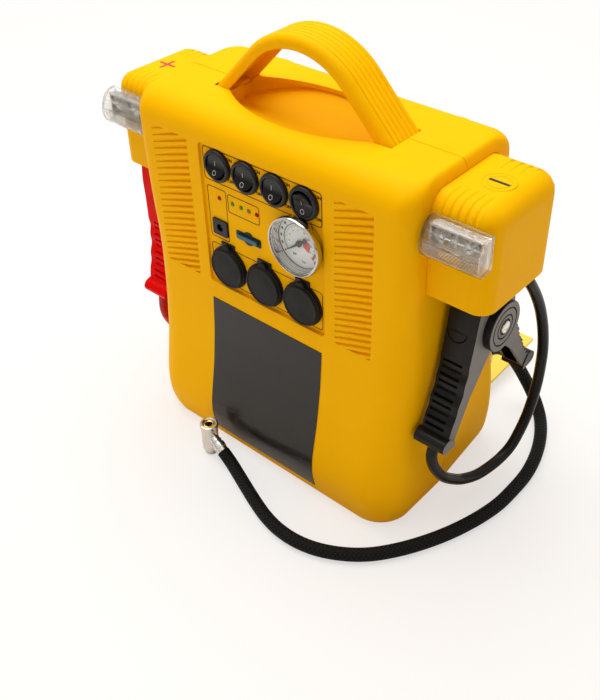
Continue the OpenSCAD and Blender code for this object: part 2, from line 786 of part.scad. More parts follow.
// The door as it closes the case, drawn about the hinge
module door_shut() {
    z0 = door_z0;
    z1 = door_z1;
    outside = rear_run(z0, z1, 0);
    inside = rear_run(z0, z1, door_t);
    translate([0, -hinge_y, -hinge_z]) difference() {
        union() {
            from_side(-door_w, 2 * door_w) polygon([each outside, for (k = [10:-1:0]) inside[k]]);
            for (side = [-1, 1]) {
                rod_x(hinge_y, hinge_z, hinge_r, side * 53 - 8, side * 53 + 8);
                from_side(side * 53 - 8, 16) polygon([[hinge_y + hinge_r, hinge_z], [hinge_y, hinge_z],
                    [hinge_y - 0.4, door_z0 - 0.4], [back_at(z0) - door_t, z0],
                    [back_at(z0 + 4) - door_t, z0 + 4], [back_at(z0 + 4), z0 + 4],
                    [hinge_y + hinge_r, z0]]);
            }
            // Catch and stiffening ribs on the inside
            translate([-9, back_at(door_z1) - 6, door_z1 - 7]) cube([18, 4, 5]);
            for (x = [-60, 0, 60]) from_side(x - 1, 2) polygon([each rear_run(z0 + 8, z1 - 8, door_t - 0.5),
                for (k = [10:-1:0]) rear_run(z0 + 8, z1 - 8, door_t + 1.8)[k]]);
        }
        rod_x(hinge_y, hinge_z, 1.3, -100, 100);
    }
}

module rear_door() color("gold") {
    translate([0, hinge_y, hinge_z]) rotate([-door_open, 0, 0]) door_shut();
}

module door_pin() color("silver") {
    rod_x(hinge_y, hinge_z, 1.2, -77, 77);
}

// ---------------------------------------------------------------- cords

// Unit vector
function unit(v) = v / norm(v);
// Direction of a route at point k
function heading(p, k) = unit(p[min(k + 1, len(p) - 1)] - p[max(k - 1, 0)]);
// Side vectors that turn as little as possible along the route
function frames(p, k = 0, last = [0, 0, 1], list = []) = k >= len(p) ? list :
    let (t = heading(p, k), u = unit(last - (last * t) * t))
    frames(p, k + 1, u, concat(list, [[u, cross(t, u)]]));

// Round tube swept along a route
module tube(p, r, sides = 8) {
    f = frames(p, 0, [1, 0.2, 0.1]);
    skin([for (k = [0:len(p) - 1]) [for (i = [0:sides - 1]) let (a = -360 * i / sides)
        p[k] + r * (cos(a) * f[k][0] + sin(a) * f[k][1])]]);
}

module battery_cable(side) color(side > 0 ? "#202020" : "#7a1212") on_side(side) {
    start = in_clamp(side, [CABLE_EXIT[0], CABLE_EXIT[1]]);
    next = in_clamp(side, [CABLE_EXIT[0], CABLE_EXIT[1] - 3]);
    tube(concat([start, next], CABLE_ROUTE), cable_d / 2, 8);
}

module cable_gland(side) color("#1c1c1c") on_side(side) {
    rod_x(gland_y, gland_z, gland_r, 103, gland_x - 3.5);
    translate([gland_x - 3.5, gland_y, gland_z]) rotate([0, 90, 0])
        cylinder(r1 = gland_r, r2 = gland_r - 1.9, h = 3.5);
}

module air_hose() color("#1e1e1e") {
    tube(HOSE_ROUTE, hose_d / 2, 8);
}

module hose_fitting() color("#c0a060") {
    rod_y(hose_x, hose_z, 7, 56, 71.6);
    rod_y(hose_x, hose_z, 8.2, 71.6, 73.6);
    rod_y(hose_x, hose_z, 6.4, 73.6, 77);
}

// Air chuck: a short upright barrel with an open end and a sloping neck for the hose
module air_chuck() color("silver") {
    at = [-41, -85, 0];
    hose_end = HOSE_ROUTE[len(HOSE_ROUTE) - 1];
    neck = hose_end - (at + [0, 0, 19]);
    difference() {
        union() {
            translate(at + [0, 0, 4]) cylinder(r = 6.6, h = 26);
            translate(at + [0, 0, 26]) cylinder(r = 7.2, h = 4);
            translate(at + [0, 0, 0]) cylinder(r = 5, h = 4);
            translate(at + [0, 0, 19]) rotate([0, acos(neck[2] / norm(neck)), atan2(neck[1], neck[0])])
                cylinder(r = 4.6, h = norm(neck) - 0.2);
        }
        translate(at + [0, 0, 16]) cylinder(r = 4.6, h = 30);
    }
}

// ---------------------------------------------------------------- battery clamps

// Points of a lever seen from the side, about its pivot: [distance behind the pivot, height]
ARM_OUT = [[-6, 74], [-11, 62], [-16, 42], [-20.5, 25], [-23.5, 14], [-25.5, 2]];
GRIP_OUT = [[-28, -11], [-32.5, -31], [-35.5, -41], [-40, -52], [-44.5, -64], [-47, -71]];
GRIP_IN = [[-40, -77], [-34, -64.5], [-25, -47], [-15, -33.5], [-5.5, -20]];
ARM_IN = [[4, -15], [13, -8], [13, 8], [4, 14], [-2, 26], [-2, 74]];
// Middle of the cable where it leaves the flange of the grip
CABLE_EXIT = [-47, -79.5];

// A point of the front grip's outer side at a height below the pivot
function grip_face(h) = [lookup(h, [for (k = [len(GRIP_OUT) - 1:-1:0]) [GRIP_OUT[k][1], GRIP_OUT[k][0]]]), h];

// Place on the right-hand side of a point given in the frame of a clamp
function in_clamp(side, p) = side > 0 ? [clamp_x, pivot_y + p[0], pivot_z + p[1]]
    : [clamp_x, left_y + p[0] * cos(left_tilt) - p[1] * sin(left_tilt),
        left_z + p[0] * sin(left_tilt) + p[1] * cos(left_tilt)];

// Turns a point of the grip outwards about the pivot
function swing(p, a) = [p[0] * cos(a) + p[1] * sin(a), p[1] * cos(a) - p[0] * sin(a)];

// Side outline of a lever whose grip is spread by an angle
module lever_cheek(a) {
    polygon([each ARM_OUT, for (p = concat(GRIP_OUT, GRIP_IN)) swing(p, a), each ARM_IN]);
}

// Room between the cheeks; leaves the outer wall and the jaw end
module lever_hollow(a) {
    polygon([[-7, 52], [-12.5, 40], [-17, 24.5], [-20, 13.5], [-22, 2],
        for (p = [[-24.5, -11.5], [-29, -31], [-32, -40], [-36.5, -51], [-41, -63], [-43.5, -71],
            [-38, -73.5], [-20, -80]]) swing(p, a),
        [30, -60], [30, 20], [2, 52]]);
}

// One lever of a clamp. The outer lever's cheeks run outside those of the inner one.
module clamp_lever(outer, a) {
    cheek = 2.6;
    w = outer ? lever_w : lever_w - 2 * cheek - 0.8;
    inner_w = w - 2 * cheek;
    difference() {
        union() {
            from_side(-w / 2, w) lever_cheek(a);
            rotate([-a, 0, 0]) {
                // The grip has the full width on both levers
                from_side(-lever_w / 2, lever_w) polygon([each GRIP_OUT, [-41, -76], [-36, -64],
                    [-30.5, -50], [-25, -36], [-21.5, -24], [-19.5, -14]]);
                // End flange
                from_side(-lever_w / 2 - 1, lever_w + 2) polygon([[-46, -69], [-52.5, -71],
                    [-54, -74.5], [-51.5, -79.5], [-39.5, -79.5], [-40, -75]]);
            }
            if (outer) rod_x(0, 0, 15.5, -boss_in, boss_out);
            else rod_x(0, 0, 8, -w / 2, w / 2);
        }
        from_side(-inner_w / 2, inner_w) lever_hollow(a);
        // Room between the bosses for the other lever and the spring
        if (outer) rod_x(0, 0, 17, -inner_w / 2, inner_w / 2);
        else rod_x(0, 0, 9, -inner_w / 2, inner_w / 2);
        rod_x(0, 0, 3.1, -40, 40);
        // Finger grooves across the grip
        rotate([-a, 0, 0]) for (k = [0:9]) from_side(-lever_w / 2 + 2, lever_w - 6)
            translate(grip_face(-20.5 - 5 * k)) circle(r = 1.1, $fn = 16);
        // Ring grooves on the outer boss
        if (outer) for (r = [6.5, 10.5]) difference() {
            rod_x(0, 0, r + 0.5, boss_out - 0.5, boss_out + 0.5);
            rod_x(0, 0, r - 0.5, boss_out - 2, boss_out + 2);
        }
    }
}

module place_clamp(side) {
    on_side(side) translate(in_clamp(side, [0, 0])) rotate([side > 0 ? 0 : left_tilt, 0, 0]) children();
}

module clamp_front(side) color(side > 0 ? "#1d1d1d" : "#c01010") place_clamp(side) {
    clamp_lever(true, 0);
}

module clamp_rear(side) color(side > 0 ? "#1d1d1d" : "#c01010") place_clamp(side) {
    mirror([0, 1, 0]) clamp_lever(false, lever_spread);
}

module clamp_pivot(side) color("silver") place_clamp(side) {
    rod_x(0, 0, 3.05, -boss_in, boss_out + 0.1);
    rod_x(0, 0, 4.4, boss_out + 0.1, boss_out + 1.3);
}

// Torsion spring round the pivot: the wire's centre line, with a short straight leg at each end
SPRING_WIRE = 0.7;
SPRING_R = 5;
SPRING_PITCH = 1.9;
SPRING_TURNS = 4.5;
SPRING_X = SPRING_PITCH * SPRING_TURNS / 2;
SPRING_LINE = concat([[-SPRING_X, SPRING_R, -9], [-SPRING_X, SPRING_R, -4.5]],
    [for (k = [0:8 * SPRING_TURNS]) [-SPRING_X + SPRING_PITCH * k / 8, SPRING_R * cos(45 * k),
        SPRING_R * sin(45 * k)]],
    [[SPRING_X, -SPRING_R, -4.5], [SPRING_X, -SPRING_R, -9]]);
SPRING_GAP = min([for (i = [0:len(SPRING_LINE) - 1], j = [0:len(SPRING_LINE) - 1]) if (j > i + 3)
    norm(SPRING_LINE[i] - SPRING_LINE[j]) - 2 * SPRING_WIRE]);
echo("clamp spring, least gap to itself in mm", SPRING_GAP);

module clamp_spring(side) color("#9a9a9a") place_clamp(side) {
    tube(SPRING_LINE, SPRING_WIRE, 6);
}

// Copper liner of the front jaw, with teeth towards the other jaw
module jaw_liner() {
    from_side(-6, 12) polygon([[-2, 27], [-0.4, 29], for (k = [0:9]) each [[-0.4, 31 + 4 * k],
        [-1.4, 33 + 4 * k]], [-0.4, 71], [-2, 73]]);
}

module clamp_front_jaw(side) color("#b87333") place_clamp(side) {
    jaw_liner();
}

module clamp_rear_jaw(side) color("#b87333") place_clamp(side) {
    mirror([0, 1, 0]) jaw_liner();
}

// ---------------------------------------------------------------- the assembly

front_shell();
rear_shell();
carry_handle();
front_label();
shell_screws();
holster(-1);  // holster_left
holster(1);  // holster_right
lamp_lens(-1);  // lamp_lens_left
lamp_lens(1);  // lamp_lens_right
lamp_reflectors();
lamp_bulbs();
switch_bodies();
rocker(1, -rocker_tilt);  // rocker_1
rocker(2, -rocker_tilt);  // rocker_2
rocker(3, -rocker_tilt);  // rocker_3
rocker(4, rocker_tilt);  // rocker_4
gauge_case();
gauge_dial();
gauge_needle();
gauge_glass();
charge_jack();
fuse_socket();
blade_fuse();
lights_green();
lights_red();
light_amber();
power_sockets();
socket_cap(1);  // socket_cap_1
socket_cap(2);  // socket_cap_2
socket_cap(3);  // socket_cap_3
battery();
battery_terminals();
battery_strap();
compressor_motor();
compressor_head();
compressor_pipe();
circuit_board();
storage_tray();
rear_door();
door_pin();
hose_fitting();
air_hose();
air_chuck();
clamp_front(-1);  // clamp_front_left
clamp_rear(-1);  // clamp_rear_left
clamp_pivot(-1);  // clamp_pivot_left
clamp_spring(-1);  // clamp_spring_left
clamp_front_jaw(-1);  // clamp_front_jaw_left
clamp_rear_jaw(-1);  // clamp_rear_jaw_left
clamp_front(1);  // clamp_front_right
clamp_rear(1);  // clamp_rear_right
clamp_pivot(1);  // clamp_pivot_right
clamp_spring(1);  // clamp_spring_right
clamp_front_jaw(1);  // clamp_front_jaw_right
clamp_rear_jaw(1);  // clamp_rear_jaw_right
cable_gland(-1);  // cable_gland_left
cable_gland(1);  // cable_gland_right
battery_cable(-1);  // battery_cable_left
battery_cable(1);  // battery_cable_right
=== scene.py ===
"""Jump starter pack: looks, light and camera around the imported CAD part.

Lengths are in millimetres.
"""

from math import cos, pi, radians, sin, sqrt

import bmesh
import bpy
import numpy as np
from mathutils import Matrix, Vector
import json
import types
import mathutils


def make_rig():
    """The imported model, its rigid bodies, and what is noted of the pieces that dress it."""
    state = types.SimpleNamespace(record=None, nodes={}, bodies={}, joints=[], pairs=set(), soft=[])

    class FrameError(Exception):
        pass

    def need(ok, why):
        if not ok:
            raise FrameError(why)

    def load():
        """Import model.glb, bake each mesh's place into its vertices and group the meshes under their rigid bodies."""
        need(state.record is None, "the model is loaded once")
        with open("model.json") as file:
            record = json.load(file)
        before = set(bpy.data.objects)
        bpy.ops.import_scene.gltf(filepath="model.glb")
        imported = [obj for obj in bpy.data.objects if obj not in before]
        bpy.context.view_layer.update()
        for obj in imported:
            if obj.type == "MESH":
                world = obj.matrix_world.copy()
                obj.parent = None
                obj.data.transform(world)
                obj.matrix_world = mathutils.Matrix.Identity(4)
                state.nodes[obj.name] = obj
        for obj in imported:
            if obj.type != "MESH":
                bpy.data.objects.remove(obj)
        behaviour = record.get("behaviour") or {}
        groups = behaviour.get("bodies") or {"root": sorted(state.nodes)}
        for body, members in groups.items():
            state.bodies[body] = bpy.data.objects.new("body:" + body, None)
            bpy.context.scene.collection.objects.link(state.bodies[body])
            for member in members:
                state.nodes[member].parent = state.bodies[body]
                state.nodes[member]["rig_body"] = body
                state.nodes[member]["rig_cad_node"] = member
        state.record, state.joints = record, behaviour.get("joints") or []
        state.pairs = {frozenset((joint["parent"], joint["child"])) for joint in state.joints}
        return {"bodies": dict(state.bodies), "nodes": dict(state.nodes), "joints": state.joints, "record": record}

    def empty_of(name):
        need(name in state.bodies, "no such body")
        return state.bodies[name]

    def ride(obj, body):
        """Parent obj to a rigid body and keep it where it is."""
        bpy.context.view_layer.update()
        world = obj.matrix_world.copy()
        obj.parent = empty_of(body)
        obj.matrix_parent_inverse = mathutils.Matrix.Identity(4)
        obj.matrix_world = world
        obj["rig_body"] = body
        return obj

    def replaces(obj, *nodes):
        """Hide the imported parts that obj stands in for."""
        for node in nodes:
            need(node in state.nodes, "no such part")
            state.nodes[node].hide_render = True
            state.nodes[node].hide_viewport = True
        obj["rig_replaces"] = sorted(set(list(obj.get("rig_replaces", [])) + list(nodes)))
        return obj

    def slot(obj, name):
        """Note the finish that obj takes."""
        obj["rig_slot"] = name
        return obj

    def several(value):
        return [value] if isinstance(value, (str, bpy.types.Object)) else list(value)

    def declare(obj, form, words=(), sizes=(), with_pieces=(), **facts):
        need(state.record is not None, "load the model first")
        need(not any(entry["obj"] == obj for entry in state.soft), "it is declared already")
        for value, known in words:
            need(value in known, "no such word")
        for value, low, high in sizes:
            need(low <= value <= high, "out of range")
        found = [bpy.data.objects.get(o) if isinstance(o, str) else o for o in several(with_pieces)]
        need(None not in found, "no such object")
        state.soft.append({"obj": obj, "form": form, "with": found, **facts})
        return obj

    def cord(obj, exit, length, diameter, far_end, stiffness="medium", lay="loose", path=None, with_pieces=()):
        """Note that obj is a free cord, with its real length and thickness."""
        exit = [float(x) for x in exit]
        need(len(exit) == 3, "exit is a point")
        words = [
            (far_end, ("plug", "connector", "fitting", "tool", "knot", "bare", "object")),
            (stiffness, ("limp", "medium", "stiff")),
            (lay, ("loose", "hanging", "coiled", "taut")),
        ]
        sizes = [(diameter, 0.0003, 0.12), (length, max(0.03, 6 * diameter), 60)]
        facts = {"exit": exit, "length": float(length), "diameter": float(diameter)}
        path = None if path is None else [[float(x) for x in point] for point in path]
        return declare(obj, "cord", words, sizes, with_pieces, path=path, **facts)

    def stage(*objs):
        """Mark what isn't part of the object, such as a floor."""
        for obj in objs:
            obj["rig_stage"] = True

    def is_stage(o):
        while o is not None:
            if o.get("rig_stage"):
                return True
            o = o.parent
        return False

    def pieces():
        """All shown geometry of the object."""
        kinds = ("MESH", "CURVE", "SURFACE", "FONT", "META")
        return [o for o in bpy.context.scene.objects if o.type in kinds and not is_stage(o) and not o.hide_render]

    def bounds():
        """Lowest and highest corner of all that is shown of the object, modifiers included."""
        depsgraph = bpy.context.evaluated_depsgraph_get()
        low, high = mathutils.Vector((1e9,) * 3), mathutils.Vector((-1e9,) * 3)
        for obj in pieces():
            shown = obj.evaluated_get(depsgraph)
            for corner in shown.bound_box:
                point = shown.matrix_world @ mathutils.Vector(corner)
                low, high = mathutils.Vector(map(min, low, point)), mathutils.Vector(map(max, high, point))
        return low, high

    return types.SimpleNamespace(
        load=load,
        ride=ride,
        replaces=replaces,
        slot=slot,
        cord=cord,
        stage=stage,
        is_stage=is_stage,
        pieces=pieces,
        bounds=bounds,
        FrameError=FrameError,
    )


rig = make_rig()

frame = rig.load()
size_at_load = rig.bounds()
MM = 0.001
NODES = frame["nodes"]
SIDES = ((1, "right"), (-1, "left"))
scene = bpy.context.scene
scene.view_settings.view_transform = "Standard"
scene.view_settings.look = "None"


def linked(name, data):
    """A new object in the scene."""
    made = bpy.data.objects.new(name, data)
    scene.collection.objects.link(made)
    return made


# ---- camera

# Right, up and backwards as the photograph's camera has them, and its place
CAMERA_AXES = (0.7511, 0.6596, -0.0276), (-0.4014, 0.4895, 0.7741), (0.5241, -0.5704, 0.6324)
CAMERA_AT = (0.38, -0.436, 0.5427)

camera = linked("camera", bpy.data.cameras.new("camera"))
camera.matrix_world = Matrix([*zip(*CAMERA_AXES, CAMERA_AT), (0, 0, 0, 1)])
camera.data.lens, camera.data.sensor_width = 49.58, 36
camera.data.clip_start, camera.data.clip_end = 0.02, 20
scene.camera = camera

# ---- mesh helpers


def from_bmesh(name, work, mesh=None):
    """The object that a bmesh describes."""
    mesh = mesh or bpy.data.meshes.new(name)
    work.to_mesh(mesh)
    work.free()
    return linked(name, mesh)


def solid(name, verts, faces):
    """A mesh object from millimetre points, with its faces turned outwards."""
    mesh = bpy.data.meshes.new(name)
    mesh.from_pydata([(x * MM, y * MM, z * MM) for x, y, z in verts], [], faces)
    work = bmesh.new()
    work.from_mesh(mesh)
    bmesh.ops.recalc_face_normals(work, faces=work.faces)
    return from_bmesh(name, work, mesh)


def skin(name, rings, closed=False):
    """Closed skin through rings of equally many points."""
    n, m = len(rings[0]), len(rings)
    faces = [
        (j * n + i, j * n + (i + 1) % n, (j + 1) % m * n + (i + 1) % n, (j + 1) % m * n + i)
        for j in range(m if closed else m - 1)
        for i in range(n)
    ]
    if not closed:
        faces += [tuple(range(n))[::-1], tuple(range((m - 1) * n, m * n))]
    return solid(name, [p for ring in rings for p in ring], faces)


def place(axis, flat, depth):
    """A point from its place in a flat drawing and its depth along the axis."""
    a, b = flat
    return {"x": (depth, a, b), "y": (a, depth, b), "z": (a, b, depth)}[axis]


def prism(name, axis, outline, lo, hi):
    """A flat outline pushed along an axis from lo to hi."""
    return skin(name, [[place(axis, p, lo) for p in outline], [place(axis, p, hi) for p in outline]])


def disc(axis, centre, r, depth, n=40):
    """Points of a circle across an axis."""
    angles = (2 * pi * i / n for i in range(n))
    return [place(axis, (centre[0] + r * cos(a), centre[1] + r * sin(a)), depth) for a in angles]


def rod(name, axis, centre, steps, n=64):
    """A turned piece along an axis: steps are (depth, radius)."""
    return skin(name, [disc(axis, centre, r, depth, n) for depth, r in steps])


def bar(axis, centre, r, lo, hi, n=64):
    """A plain round bar along an axis."""
    return rod("bar", axis, centre, [(lo, r), (hi, r)], n)


def ring(name, axis, centre, profile, n=96):
    """A turned ring: a closed profile of (radius, depth) carried round an axis."""
    return skin(name, list(zip(*(disc(axis, centre, r, depth, n) for r, depth in profile))), closed=True)


def apply(target):
    """Turns the modifiers of an object into its mesh."""
    graph = bpy.context.evaluated_depsgraph_get()
    mesh = bpy.data.meshes.new_from_object(target.evaluated_get(graph))
    target.modifiers.clear()
    target.data = mesh
    return target


def carve(target, tools, operation="DIFFERENCE"):
    """Cuts the tools from the target, or adds them to it, and removes them."""
    for tool in tools:
        step = target.modifiers.new("carve", "BOOLEAN")
        step.object, step.operation, step.solver = tool, operation, "MANIFOLD"
    apply(target)
    for tool in tools:
        bpy.data.objects.remove(tool)
    return target


def carve_each(target, tools, operation="DIFFERENCE"):
    """Carves with one tool after the other, where the tools may meet."""
    for tool in tools:
        carve(target, [tool], operation)
    return target


def smooth(target, angle=32):
    """Smooth shading with the edges above an angle kept sharp."""
    target.data.shade_smooth()
    target.data.set_sharp_from_angle(angle=radians(angle))
    even = target.modifiers.new("even normals", "WEIGHTED_NORMAL")
    even.mode, even.weight, even.keep_sharp = "FACE_AREA", 50, True
    return apply(target)


def paint(target, material):
    target.data.materials.clear()
    target.data.materials.append(material)


def show(target, material, stands_for=None, body="case", slot=None, angle=32, name=None):
    """Gives a finished piece its material and its place in the assembly."""
    target.name = name or target.name
    smooth(target, angle)
    paint(target, material)
    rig.ride(target, body)
    if stands_for:
        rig.replaces(target, stands_for)
    if slot:
        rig.slot(target, slot)


# ---- materials


class Look:
    """A procedural material, or the sky, built node by node."""

    def __init__(self, name, kind=bpy.data.materials):
        self.owner = kind.new(name)
        self.owner.use_nodes = True
        self.tree = self.owner.node_tree
        self.shader = self.tree.nodes.get("Principled BSDF")
        self.where = self.add("TexCoord").outputs["Object"]

    def put(self, socket, value):
        """Fills an input with a number, a colour or another node's output."""
        if isinstance(value, bpy.types.NodeSocket):
            self.tree.links.new(value, socket)
        else:
            socket.default_value = (*value, 1) if socket.type == "RGBA" else value

    def fill(self, node, **values):
        for key, value in values.items():
            self.put(node.inputs[key.replace("_", " ")], value)

    def add(self, kind, **values):
        """A new node: values with a capital are its inputs, the others its settings."""
        node = self.tree.nodes.new("ShaderNode" + kind)
        for key, value in values.items():
            if key[0].islower():
                setattr(node, key, value)
            else:
                self.fill(node, **{key: value})
        return node

    def noise(self, scale, detail=2.0):
        return self.add("TexNoise", Scale=scale, Detail=detail, Vector=self.where).outputs["Fac"]

    def ramp(self, source, low, high, to_low, to_high):
        node = self.add("MapRange", From_Min=low, From_Max=high, To_Min=to_low, To_Max=to_high)
        self.fill(node, Value=source)
        return node.outputs["Result"]

    def mix(self, factor, first, second):
        """A mix of two colours."""
        node = self.add("Mix", data_type="RGBA")
        for k, value in ((0, factor), (6, first), (7, second)):
            self.put(node.inputs[k], value)
        return node.outputs[2]

    def blend(self, factor, first, second):
        """A mix of two shaders."""
        node = self.add("MixShader")
        for socket, value in zip(node.inputs, (factor, first, second)):
            self.put(socket, value)
        return node.outputs[0]

    def set(self, **values):
        self.fill(self.shader, **values)
        return self

    def relief(self, height, distance, strength, round_edge=None):
        node = self.add("Bump", Strength=strength, Distance=distance, Height=height)
        if round_edge:
            bevel = self.add("Bevel", samples=4, Radius=round_edge)
            self.fill(node, Normal=bevel.outputs["Normal"])
        return self.set(Normal=node.outputs["Normal"])

    def surface(self, shader):
        """Makes a shader the result."""
        output = next(node for node in self.tree.nodes if node.type.startswith("OUTPUT"))
        self.fill(output, Surface=shader)
        return self.owner


def moulded(
    name, first, second, rough=(0.38, 0.5), gloss=0.5, grain=1800, depth=0.00004, round_edge=0.0006, **more
):
    """Moulded plastic or rubber: two close colours, uneven gloss and a fine grain."""
    look = Look(name)
    look.set(
        Base_Color=look.mix(look.ramp(look.noise(14, 3), 0.35, 0.65, 0, 1), first, second),
        Roughness=look.ramp(look.noise(90, 3), 0.3, 0.7, *rough),
        Specular_IOR_Level=gloss,
        **more,
    )
    return look.relief(look.noise(grain), depth, 0.6, round_edge).owner


def printed(name, first, second, rough=(0.4, 0.5), gloss=0.5):
    """Ink or paint, too thin to have round edges."""
    return moulded(name, first, second, rough, gloss, round_edge=None)


def metal(name, first, second, rough=(0.16, 0.3), round_edge=0.0004):
    """Metal with a faint brushed or cast unevenness."""
    look = Look(name)
    fine = look.noise(700, 3)
    look.set(
        Base_Color=look.mix(look.ramp(fine, 0.3, 0.7, 0, 1), first, second),
        Roughness=look.ramp(fine, 0.3, 0.7, *rough),
        Metallic=1.0,
    )
    return look.relief(fine, 0.00001, 0.4, round_edge).owner


def window(name, clear, gloss, bends=0.0):
    """A clear sheet that mirrors a little of the light, and bends a share of it as a thick wall does."""
    look = Look(name)
    through = look.add("BsdfTransparent", Color=clear)
    shine = look.add("BsdfGlossy", Roughness=look.ramp(look.noise(60), 0.3, 0.7, 0.02, 0.06))
    mirrored = look.ramp(look.noise(30), 0.3, 0.7, gloss * 0.9, gloss * 1.1)
    thin = look.blend(mirrored, through.outputs[0], shine.outputs[0])
    look.set(Base_Color=(0.96, 0.97, 0.97), Roughness=0.04, Transmission_Weight=1.0, IOR=1.38)
    return look.surface(look.blend(bends, thin, look.shader.outputs[0]))


def braided(name):
    """Woven sleeve: two sets of threads wound in opposite directions, read from the tube's own map."""
    look = Look(name)
    along = look.add("UVMap", uv_map="along").outputs["UV"]
    cross = look.add("Math", operation="MULTIPLY")
    for socket, turn in zip(cross.inputs, (1, -1)):
        mapping = look.add("Mapping", Vector=along, Scale=(9.0, 3.2 * turn, 1))
        threads = look.add("TexWave", bands_direction="DIAGONAL", Scale=0.62, Distortion=0.3)
        look.fill(threads, Vector=mapping.outputs["Vector"])
        look.put(socket, threads.outputs["Fac"])
    weave = cross.outputs[0]
    look.set(
        Base_Color=look.mix(look.ramp(weave, 0.1, 0.8, 0, 1), grey(0.003), (0.012, 0.012, 0.0125)),
        Roughness=look.ramp(weave, 0, 1, 0.6, 0.44),
        Specular_IOR_Level=0.12,
    )
    return look.relief(weave, 0.0005, 0.9).owner


def grey(v):
    return (v, v, v)


YELLOW = moulded("yellow plastic", (0.965, 0.515, 0.0), (0.945, 0.495, 0.0), (0.4, 0.52), 0.03, 1500, 0.00003)
# A paler copy of the yellow plastic for the rear door: painted glare on its upward face, lit from above
YELLOW_PAINTED_GLARE = moulded("yellow plastic painted glare", (0.97, 0.75, 0.14), (0.94, 0.72, 0.12), (0.36, 0.48), 0.05)
BLACK = moulded("black plastic", (0.006, 0.006, 0.0065), (0.01, 0.01, 0.0105), (0.32, 0.44), 0.3)
ROCKER = moulded(
    "rocker plastic", (0.004, 0.004, 0.0045), (0.007, 0.007, 0.0075), (0.24, 0.34), 0.22, round_edge=0.0005
)
RUBBER = moulded("black rubber", grey(0.006), grey(0.01), (0.48, 0.6), 0.2, 900)
CLAMP_BLACK = moulded("clamp black", grey(0.004), grey(0.007), (0.26, 0.36), 0.22, round_edge=0.0007)
# A paler grey copy of the clamp black for its outward faces: painted sheen, a reflection of the white surroundings
CLAMP_PAINTED_SHEEN = moulded("clamp side", grey(0.15), grey(0.19), (0.5, 0.62), 0.4, 2200)
CLAMP_RED = moulded(
    "clamp red", (0.78, 0.002, 0.002), (0.72, 0.002, 0.002), (0.16, 0.26), 0.04, round_edge=0.0007
)
CABLE_BLACK = printed("cable black", grey(0.003), grey(0.006), (0.2, 0.3), 0.2)
CABLE_RED = printed("cable red", (0.5, 0.004, 0.004), (0.42, 0.003, 0.003), (0.22, 0.34), 0.25)
LABEL = moulded(
    "label film", (0.016, 0.0155, 0.0145), (0.02, 0.0195, 0.018), (0.2, 0.26), 0.28, 400, 0.00001, None
)
BATTERY = moulded("battery case", (0.03, 0.032, 0.036), (0.04, 0.042, 0.046))
BOARD = moulded("circuit board", (0.02, 0.16, 0.05), (0.03, 0.2, 0.07), (0.3, 0.4))
FUSE = moulded("fuse plastic", (0.005, 0.09, 0.14), (0.008, 0.12, 0.18), (0.15, 0.25))
LED_GREEN = moulded("green lens", (0.06, 0.4, 0.02), (0.08, 0.46, 0.03), (0.12, 0.2), 0.12)
LED_RED = moulded("red lens", (0.55, 0.003, 0.004), (0.62, 0.004, 0.005), (0.12, 0.2), 0.12)
LED_AMBER = moulded("amber lens", (0.3, 0.2, 0.06), (0.36, 0.24, 0.08), (0.12, 0.2), 0.2)
BULB = moulded("bulb glass", (0.55, 0.5, 0.42), (0.65, 0.6, 0.5), (0.05, 0.1), Coat_Weight=0.6)
WHITE = printed("white print", (0.5, 0.5, 0.49), (0.56, 0.56, 0.55))
DIAL = printed("dial white", (0.86, 0.93, 0.99), (0.88, 0.95, 1.0), (0.45, 0.55))
INK = printed("black ink", (0.012, 0.01, 0.006), (0.018, 0.015, 0.009), (0.5, 0.6), 0.05)
GREEN_INK = printed("green ink", (0.03, 0.3, 0.1), (0.04, 0.35, 0.12))
RED_INK = printed("red ink", (0.7, 0.02, 0.02), (0.76, 0.03, 0.03))
AMBER_INK = printed("yellow ink", (0.85, 0.55, 0.02), (0.9, 0.6, 0.03))
RED_PRINT = printed("red print", (0.62, 0.015, 0.01), (0.7, 0.02, 0.012))
DARK = printed("dark paint", (0.02, 0.02, 0.021), (0.03, 0.03, 0.031), gloss=0.1)
STEEL = metal("zinc steel", (0.55, 0.55, 0.54), (0.7, 0.7, 0.68))
CHROME = metal("chrome", (0.74, 0.73, 0.71), (0.82, 0.81, 0.79), (0.06, 0.14))
RIM = metal("chrome rim", (0.5, 0.49, 0.47), (0.58, 0.57, 0.55), (0.08, 0.14), None)
MIRRORS = metal("lamp mirrors", (0.42, 0.38, 0.34), (0.52, 0.48, 0.44), (0.04, 0.08), None)
NICKEL = metal("nickel", (0.66, 0.63, 0.58), (0.76, 0.73, 0.68), (0.12, 0.22))
BRASS = metal("brass", (0.62, 0.44, 0.17), (0.72, 0.53, 0.22))
COPPER = metal("copper", (0.66, 0.3, 0.14), (0.75, 0.38, 0.2))
CAST = metal("cast aluminium", (0.5, 0.51, 0.52), (0.6, 0.6, 0.61), (0.35, 0.5))
HOSE = braided("braided hose")
GLASS = window("clear plastic", (0.975, 0.975, 0.97), 0.04, 0.75)
RIBBED = window("ribbed sheet", (0.8, 0.79, 0.76), 0.06)
THIN_GLASS = window("gauge window", (0.98, 0.985, 0.98), 0.05)

